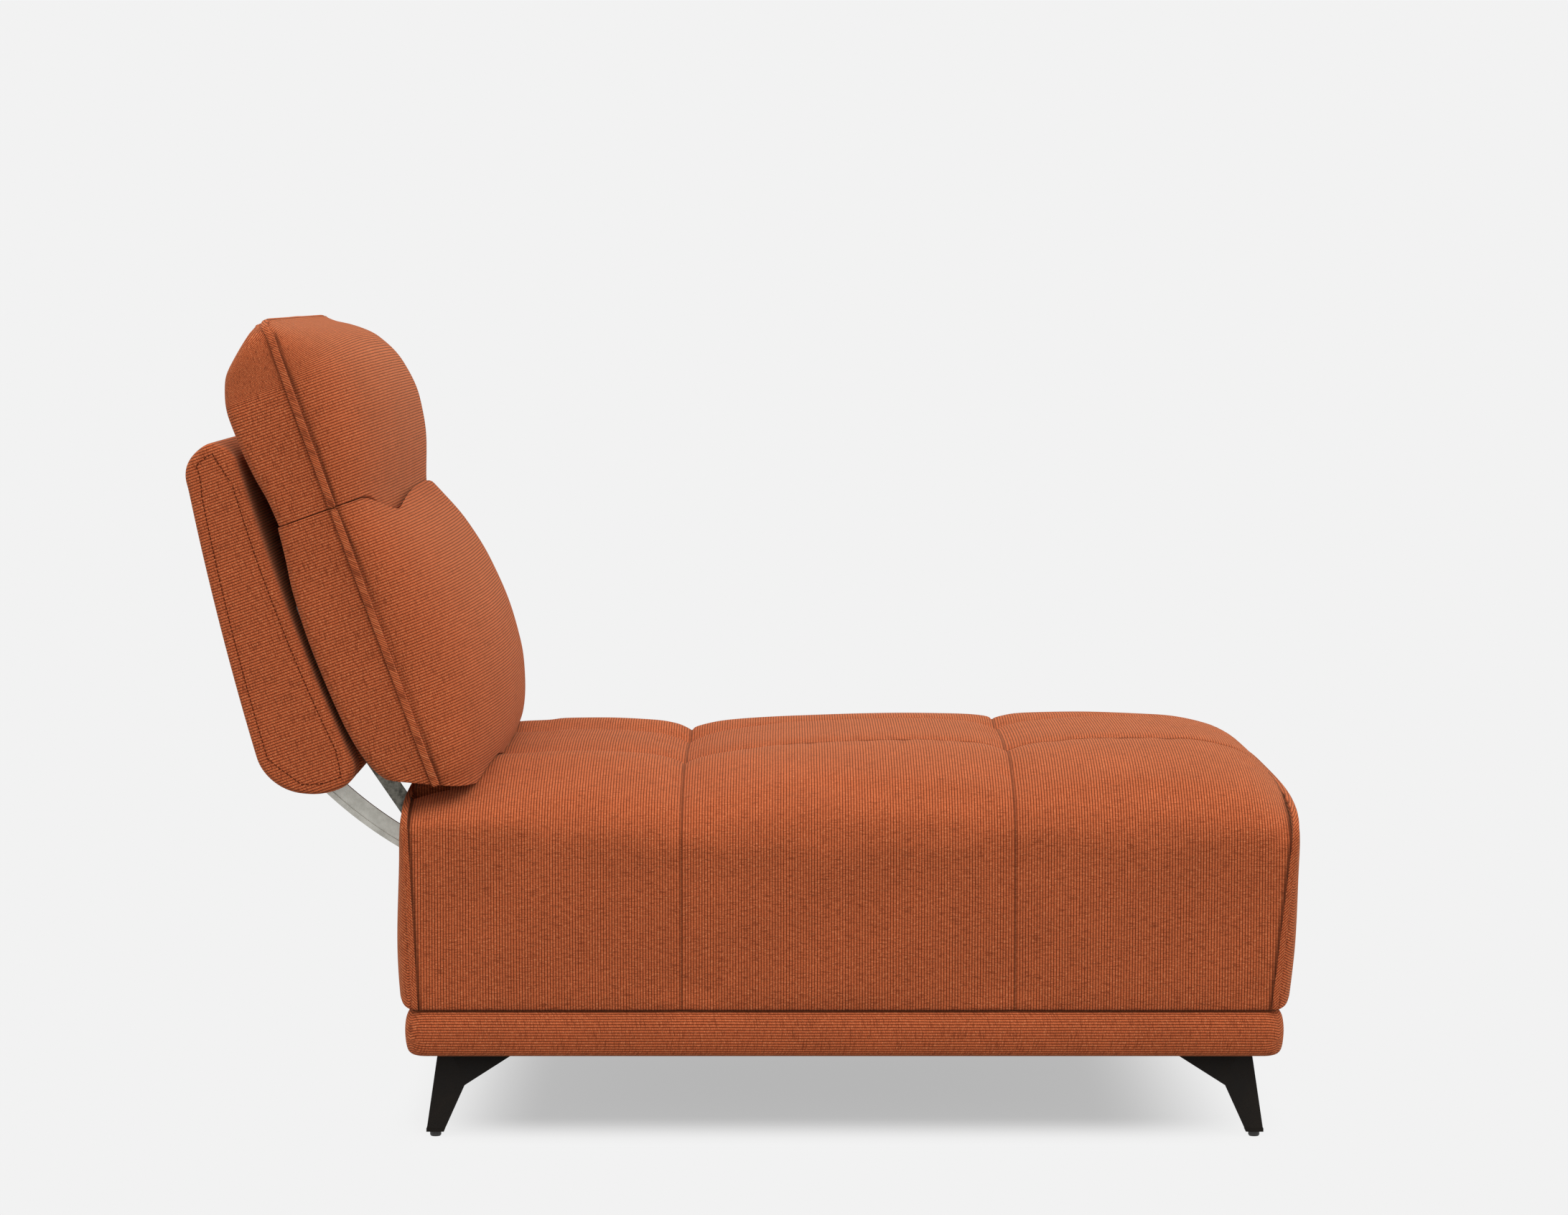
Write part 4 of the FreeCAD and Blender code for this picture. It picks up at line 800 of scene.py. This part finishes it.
def panel_cover():
    half = 347.0
    stations = [(-half, 7.5), (-half, 6.0), (-346.4, 3.4), (-344.6, 1.4), (-341.0, 0.3), (-336.0, 0.0)]
    middle = [(y, 0.0) for y in np.linspace(-322, 322, 47)]
    stations = stations + middle + [(-y, inset) for y, inset in stations[::-1]]
    rings = []
    for y, inset in stations:
        bulge = 4.0 * (1.0 - (y / half) ** 2)
        outline = panel_outline(inset, bulge)
        x, z = on_back(outline[:, 0], outline[:, 1])
        rings.append(np.stack([x, np.full(len(x), y), z], 1))
    # The two flat sides close through smaller outlines.
    around = len(rings[0])
    for end in (0, -1):
        outer = rings[end]
        centre = outer.mean(axis=0)
        inner = [centre + (outer - centre) * share for share in (0.82, 0.55, 0.25)]
        rings = inner[::-1] + rings if end == 0 else rings + inner
    points = np.concatenate(rings)
    piece = new_piece("panel_cover", points, ring_faces(len(rings), around, False), "back", cloth)
    subdivide(piece)
    rooms = []
    for side in (-1, 1):
        low, high = sorted((side * (LINK_ROOM_Y[0] + 0.5), side * (LINK_ROOM_Y[1] - 0.5)))
        first = [on_back(u, v) for u, v in ((-20, -60), (125.5, -60), (125.5, -177.5), (-20, -177.5))]
        second = [on_back(u, v) for u, v in ((124, -60), (195.5, -60), (195.5, -133.5), (124, -133.5))]
        rooms += [(first, (low, high)), (second, (low, high))]
    cut_rooms(piece, rooms)
    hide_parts("back_panel")

    def weave(x, y, z):
        u, v = off_back(x, z)
        flat = np.abs(y) > half - 1.0
        along = np.where(flat, v, np.where(v > -135.0, np.abs(y), -np.abs(y)))
        return u * MM, along * MM, 0.0
    finish_cover(piece, weave)


# Pillows

def crown(levels, u, y, power=2.5):
    """v of a pillow's front at u, bulging between its side seams."""
    half = HALF - along_curve(levels, 3, u)
    rise = along_curve(levels, 2, u) - SEAM_V
    across = np.clip(np.abs(y) / half, 0.0, 1.0)
    return SEAM_V + rise * (1.0 - across ** power) ** (1.0 / power)


def roll_depth(y):
    """How far the headrest's lower front hangs: full in the middle, none near its side seams."""
    return smooth((325.0 - np.abs(y)) / 80.0)


def neck_u(v, y, radius):
    """u of the joint between lumbar pillow and headrest: flat behind, round under the headrest's roll."""
    inside = np.clip(radius ** 2 - (v - ROLL_V) ** 2, 0.0, None)
    lip = 14.0 * smooth((v - 54.0) / 12.0)
    return ROLL_U - 5.5 * (1 - roll_depth(y)) - roll_depth(y) * (np.maximum(np.sqrt(inside), 5.5) - lip)


def lumbar_floor(x, y):
    """Height of the lumbar pillow's underside: the seat's top where that is higher, a level hem beyond it."""
    hem = 415.7 - 0.107 * (x + 396.0)
    return np.maximum(hem, seat_top(x, y) + 1.6)


def pillow_columns():
    half = [0, 16, 32, 48, 64, 80, 96, 112, 128, 144, 160, 176, 192, 207, 221, 234, 246, 257, 267, 276.5,
            285, 293, 300, 307, 313.5, 319.5, 325, 330, 334.5, 338.5, 342, 345, 347.3, 349, 350]
    return np.array([-y for y in half[:0:-1]] + half, float) / 350.0


DEPTH_ROWS = np.array([0, 0.02, 0.05, 0.09, 0.14, 0.22, 0.33, 0.45, 0.58, 0.7, 0.8, 0.88, 0.94, 0.975, 1.0])


def pillow_points(levels, columns, heights, low, high):
    """Points of a pillow's skin. low and high give u at the ends for arrays of v and y."""
    places, faces = block_skin(len(columns) - 1, len(DEPTH_ROWS) - 1, len(heights) - 1)
    share, deep, row = columns[places[:, 0]], DEPTH_ROWS[places[:, 1]], heights[places[:, 2]]
    u = np.full(len(share), 0.5 * (levels[1][0] + levels[-2][0]))
    for _ in range(30):
        drawn = along_curve(levels, 3, u)
        rim = along_curve(levels, 4, u)
        rear = along_curve(levels, 1, u)
        half = HALF - drawn
        y = share * half
        front = crown(levels, u, y)
        v = rear + deep * (front - rear)
        # The rear edges are rounded.
        toward = np.clip((half - np.abs(y)) / rim, 0.0, 1.0)
        rounding = 1.0 - np.sqrt(np.clip(1.0 - (1.0 - toward) ** 2, 0.0, 1.0))
        v = np.maximum(v, rear + rim * rounding * (deep < 0.5))
        target = low(v, y) + row * (high(v, y) - low(v, y))
        u = u + 0.6 * (target - u)
    return u, v, y, share, deep, row, faces


def pillow_weave(levels):
    def weave(x, y, z):
        u, v = off_back(x, z)
        half = HALF - along_curve(levels, 3, u)
        rear = along_curve(levels, 1, u)
        behind = v < rear + 5.0
        side = np.abs(y) > half - 1.0
        along = np.where(side, v - HALF, np.where(behind, np.abs(y), v - np.abs(y)))
        over = smooth((u - 480.0) / 70.0)
        across = u - over * 0.8 * (v - 60.0)
        # Painted shade: the cloth darkens in the creases just in front of and behind the side seams, below the
        # headrest's top.
        near_side = smooth((np.abs(y) - half + 12.0) / 6.0) * smooth((552.0 - u) / 12.0)
        crease_shade = np.exp(-((v - SEAM_V - 5.6) / 2.0) ** 2) + 0.7 * np.exp(-((v - SEAM_V + 5.2) / 1.4) ** 2)
        return across * MM, along * MM, crease_shade * near_side
    return weave


def lumbar_cover():
    def low(v, y):
        u = np.zeros_like(v)
        for _ in range(12):
            x, z = on_back(u, v)
            u = u + (lumbar_floor(x, y) - z) / math.cos(LEAN) * 0.7
        return u

    def high(v, y):
        return neck_u(v, y, ROLL_RADIUS + 1.6) - 0.4

    heights = np.concatenate([[0, 0.008, 0.02, 0.04], np.linspace(0.065, 0.94, 30), [0.962, 0.98, 0.992, 1.0]])
    u, v, y, share, deep, row, faces = pillow_points(LUMBAR_LEVELS, pillow_columns(), heights, low, high)
    x, z = on_back(u, v)
    piece = new_piece("lumbar_cover", np.stack([x, y, z], 1), faces, "back", cloth)
    held = (np.abs(share) > 0.9999) & (np.abs(v - SEAM_V) < 9.0) | (row < 0.01) | (row > 0.99) | (deep < 0.01)
    puff(piece, held)
    subdivide(piece)
    rooms = []
    for side in (-1, 1):
        low_y, high_y = sorted((side * (LINK_ROOM_Y[0] + 0.5), side * (LINK_ROOM_Y[1] - 0.5)))
        outline = [on_back(*spot) for spot in ((-40, -130), (159.5, -130), (159.5, -50.5), (-40, -50.5))]
        rooms.append((outline, (low_y, high_y)))
    cut_rooms(piece, rooms)
    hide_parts("lumbar_pillow")
    finish_cover(piece, pillow_weave(LUMBAR_LEVELS))


def headrest_cover():
    def low(v, y):
        return neck_u(v, y, ROLL_RADIUS) + 0.4

    def high(v, y):
        return np.full_like(v, HEAD_TOP)

    heights = np.concatenate([[0, 0.012, 0.03, 0.055], np.linspace(0.085, 0.84, 24),
                              [0.87, 0.895, 0.92, 0.94, 0.955, 0.97, 0.982, 0.992, 1.0]])
    u, v, y, share, deep, row, faces = pillow_points(HEAD_LEVELS, pillow_columns(), heights, low, high)
    x, z = on_back(u, v)
    piece = new_piece("headrest_cover", np.stack([x, y, z], 1), faces, "headrest", cloth)
    held = (np.abs(share) > 0.9999) & (np.abs(v - SEAM_V) < 9.0) | (row < 0.01) | (row > 0.99) | (deep < 0.01)
    puff(piece, held)
    subdivide(piece)
    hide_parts("headrest_cushion")
    finish_cover(piece, pillow_weave(HEAD_LEVELS))


FLANGE_LIFT = 1.3                         # how far the flanges stand off the covers, which swell a little


def side_seam(u):
    """How far out the seam lies at u up the headrest's side."""
    return float(HALF + 0.6 - along_curve(HEAD_LEVELS, 3, np.array([u]))[0])


def side_flange(name, body, spots, steps):
    """A flat flange along a pillow's seam, through (u, v, y, outward u, outward y) places on the near side."""
    spots = np.array(spots, float)
    t = np.linspace(0, len(spots) - 1, steps)
    values = [along_curve([(i, value) for i, value in enumerate(spots[:, c])], 1, t) for c in range(5)]
    u, v, y, out_u, out_y = values
    x, z = on_back(u, v)
    out_x, out_z = on_back(out_u, 0.0 * out_u)
    outward = np.stack([out_x - FOOT_X, out_y, out_z - FOOT_Z], 1)
    outward = outward / np.linalg.norm(outward, axis=1)[:, None]
    path = np.stack([x, y, z], 1) + FLANGE_LIFT * outward
    tangent = np.gradient(path, axis=0)
    width_axis = np.cross(tangent, outward)

    def weave(x, y, z):
        u, v = off_back(x, z)
        return (u + v) * MM, y * MM, 0.0
    band(name, path, outward, width_axis, 8.4, 5.0, body, weave)


def stitches(name, path, outward, body, pitch=5.4, length=4.0, thick=1.5):
    """A row of short thread stitches that lie along a path, a little proud of the cloth."""
    path, outward = np.asarray(path, float), np.asarray(outward, float)
    walked = np.concatenate([[0.0], np.cumsum(np.linalg.norm(np.diff(path, axis=0), axis=1))])
    points, faces = [], []
    profile = ((-0.5, 0.35), (-0.34, 0.9), (0.0, 1.0), (0.34, 0.9), (0.5, 0.35))
    for start in np.arange(pitch, walked[-1] - pitch, pitch):
        spot, ahead, up = [np.array([np.interp(start + step, walked, values[:, axis]) for axis in range(3)])
                           for values, step in ((path, 0.0), (path, 0.5), (outward, 0.0))]
        forward = (ahead - spot) / np.linalg.norm(ahead - spot)
        up = up / np.linalg.norm(up)
        aside = np.cross(forward, up)
        base = len(points)
        for share, girth in profile:
            for turn in range(6):
                angle = turn * math.pi / 3
                ring = thick / 2 * girth * (math.cos(angle) * aside + math.sin(angle) * up)
                points.append(spot + share * length * forward + ring)
        faces += [tuple(base + corner for corner in face) for face in ring_faces(len(profile), 6, False)]
    piece = new_piece(name, points, faces, body, thread)
    piece.data.shade_smooth()


def seat_stitch_lines(cover):
    """Both lengthwise rows on the middle and front fields, laid on the cover itself."""
    tree = BVHTree.FromObject(cover, bpy.context.evaluated_depsgraph_get())
    for label, y in (("left", STITCH_LINE), ("right", -STITCH_LINE)):
        for field, (start, end) in (("middle", (-74.0, 298.0)), ("front", (306.0, 612.0))):
            path = []
            for x in np.arange(start, end, 4.0):
                hit = tree.ray_cast(Vector((x * MM, y * MM, 0.7)), Vector((0, 0, -1)))
                path.append((x, y, hit[0].z / MM + 0.15))
            up = np.tile([0.0, 0.0, 1.0], (len(path), 1))
            stitches("seat_stitches_" + field + "_" + label, path, up, "base")


def panel_stitch_lines():
    """The topstitching inside the edge of the panel's two flat sides."""
    outline = panel_outline(13.0, 0.0)
    outline = np.concatenate([outline, outline[:1]])
    x, z = on_back(outline[:, 0], outline[:, 1])
    for label, side in (("left", 1), ("right", -1)):
        path = np.stack([x, np.full(len(x), side * 347.1), z], 1)
        stitches("panel_stitches_" + label, path, np.tile([0.0, side, 0.0], (len(x), 1)), "back")


seat = seat_cover()
seat_stitch_lines(seat)
panel_stitch_lines()
border_pad("front_border_pad", "front_border", FRONT_FOOT, FRONT_LEAN, *FRONT_ARCH, 1, None)
border_pad("rear_border_pad", "rear_border", REAR_FOOT, REAR_LEAN, *REAR_ARCH, -1, link_rooms(LINK_ROOM_GROWTH))
end_flange("front_seam_flange", FRONT_FOOT, FRONT_LEAN, *FRONT_ARCH, 1)
end_flange("rear_seam_flange", REAR_FOOT, REAR_LEAN, *REAR_ARCH, -1)
plinth_cover()
panel_cover()
lumbar_cover()
headrest_cover()
for side_name, side in (("left", 1), ("right", -1)):
    side_flange("lumbar_flange_" + side_name, "back",
                [(2, -5, side * 345, -0.2, side), (40, -5, side * 350, 0, side),
                 (120, -5, side * 350.6, 0, side), (230, -5, side * 350.6, 0, side), (338, -5, side * 350.6, 0, side)], 44)
head_edge = [(u, side_seam(u)) for u in np.arange(338.6, 562.0, 4.0)]
head_edge += [(562.4, y) for y in (280, 250, 200, 130, 60)]
head_path = [(u, -y) for u, y in head_edge] + [(562.9, 0.0)] + head_edge[::-1]
head_u, head_y = np.array(head_path).T
along_u, along_y = np.gradient(head_u), np.gradient(head_y)
head_v = SEAM_V - 6.0 * smooth((head_u - 540.0) / 22.0)
side_flange("headrest_flange", "headrest", np.stack([head_u, head_v, head_y, along_y, -along_u], 1), 190)


# Floor, light and camera

def floor_finish():
    """A pale floor that meets the background and keeps the object's shadow."""
    floor = Finish("pale_floor")
    path = floor.tree.nodes.new("ShaderNodeLightPath")
    seen = Socket(floor, path.outputs["Is Camera Ray"]) + Socket(floor, path.outputs["Is Glossy Ray"])
    seen = (seen + Socket(floor, path.outputs["Is Transmission Ray"])).clamp()
    diffuse = floor.node("ShaderNodeBsdfDiffuse", None, {"Color": rgb(*[FLOOR_COLOUR] * 3)})
    glow = floor.node("ShaderNodeEmission", None, {"Color": rgb(1, 1, 1), "Strength": seen * FLOOR_GLOW})
    shaded = floor.node("ShaderNodeAddShader", None, {0: diffuse, 1: glow})
    plain = floor.node("ShaderNodeEmission", None, {"Color": rgb(1, 1, 1), "Strength": BACKGROUND})
    x, y, z = floor.parts(floor.place())
    near = x.ramp(*SHADOW_REAR) * (1.0 - x.ramp(*SHADOW_FRONT))
    near = near * y.ramp(*SHADOW_NEAR) * (1.0 - y.ramp(*SHADOW_FAR))
    shader = floor.node("ShaderNodeMixShader", None, {0: seen * (1.0 - near), 1: shaded, 2: plain})
    floor.node_output(shader)
    return floor.material


# Where the shaded floor fades to the plain background on each side of the object, in metres
SHADOW_REAR, SHADOW_FRONT = (-0.43, -0.24), (0.40, 0.64)
SHADOW_NEAR, SHADOW_FAR = (-0.37, -0.19), (0.5, 1.2)
BACKGROUND = 0.888
FLOOR_COLOUR = 0.37
FLOOR_GLOW = 0.452
AMBIENT = 0.45

floor_mesh = bpy.data.meshes.new("floor")
reach = 60.0
floor_mesh.from_pydata([(-reach, -reach, 0), (reach, -reach, 0), (reach, reach, 0), (-reach, reach, 0)], [],
                       [(0, 1, 2, 3)])
floor_piece = bpy.data.objects.new("floor", floor_mesh)
bpy.context.scene.collection.objects.link(floor_piece)
floor_mesh.materials.append(floor_finish())

world = bpy.data.worlds.new("studio")
bpy.context.scene.world = world
world.use_nodes = True
nodes, links = world.node_tree.nodes, world.node_tree.links
nodes.clear()
path = nodes.new("ShaderNodeLightPath")
shown = nodes.new("ShaderNodeMath")
shown.operation = "MAXIMUM"
links.new(path.outputs["Is Camera Ray"], shown.inputs[0])
glossy = nodes.new("ShaderNodeMath")
glossy.operation = "MAXIMUM"
links.new(path.outputs["Is Glossy Ray"], glossy.inputs[0])
links.new(path.outputs["Is Transmission Ray"], glossy.inputs[1])
links.new(glossy.outputs[0], shown.inputs[1])
strength = nodes.new("ShaderNodeMix")
strength.data_type = "FLOAT"
links.new(shown.outputs[0], strength.inputs[0])
strength.inputs[2].default_value = AMBIENT
strength.inputs[3].default_value = BACKGROUND
sky = nodes.new("ShaderNodeBackground")
sky.inputs["Color"].default_value = (1, 1, 1, 1)
links.new(strength.outputs[0], sky.inputs["Strength"])
output = nodes.new("ShaderNodeOutputWorld")
links.new(sky.outputs[0], output.inputs["Surface"])


def lamp(name, direction, strength, softness):
    """A soft lamp far away, shining along a direction."""
    light = bpy.data.lights.new(name, "SUN")
    light.energy, light.angle = strength, math.radians(softness)
    piece = bpy.data.objects.new(name, light)
    bpy.context.scene.collection.objects.link(piece)
    x, y, z = direction
    piece.rotation_euler = (math.atan2(math.hypot(x, y), -z), 0.0, math.atan2(-x, y))


lamp("overhead_softbox", (0.0, 0.35, -1.0), 1.6, 75.0)
lamp("camera_side_softbox", (0.1, 1.0, -0.8), 0.32, 80.0)
lamp("front_softbox", (-1.0, 0.15, -0.5), 0.9, 80.0)
lamp("rear_softbox", (1.0, 0.15, -0.5), 0.6, 80.0)

camera = bpy.data.cameras.new("camera")
camera.lens, camera.sensor_width = 94.71, 36.0
camera.clip_end = 200.0
camera_piece = bpy.data.objects.new("camera", camera)
camera_piece.location = (0.03883, -4.9995, 0.98048)
camera_piece.rotation_euler = (math.radians(90.0 - 4.498), 0.0, 0.0)
bpy.context.scene.collection.objects.link(camera_piece)
bpy.context.scene.camera = camera_piece
bpy.context.scene.view_settings.view_transform = "Standard"
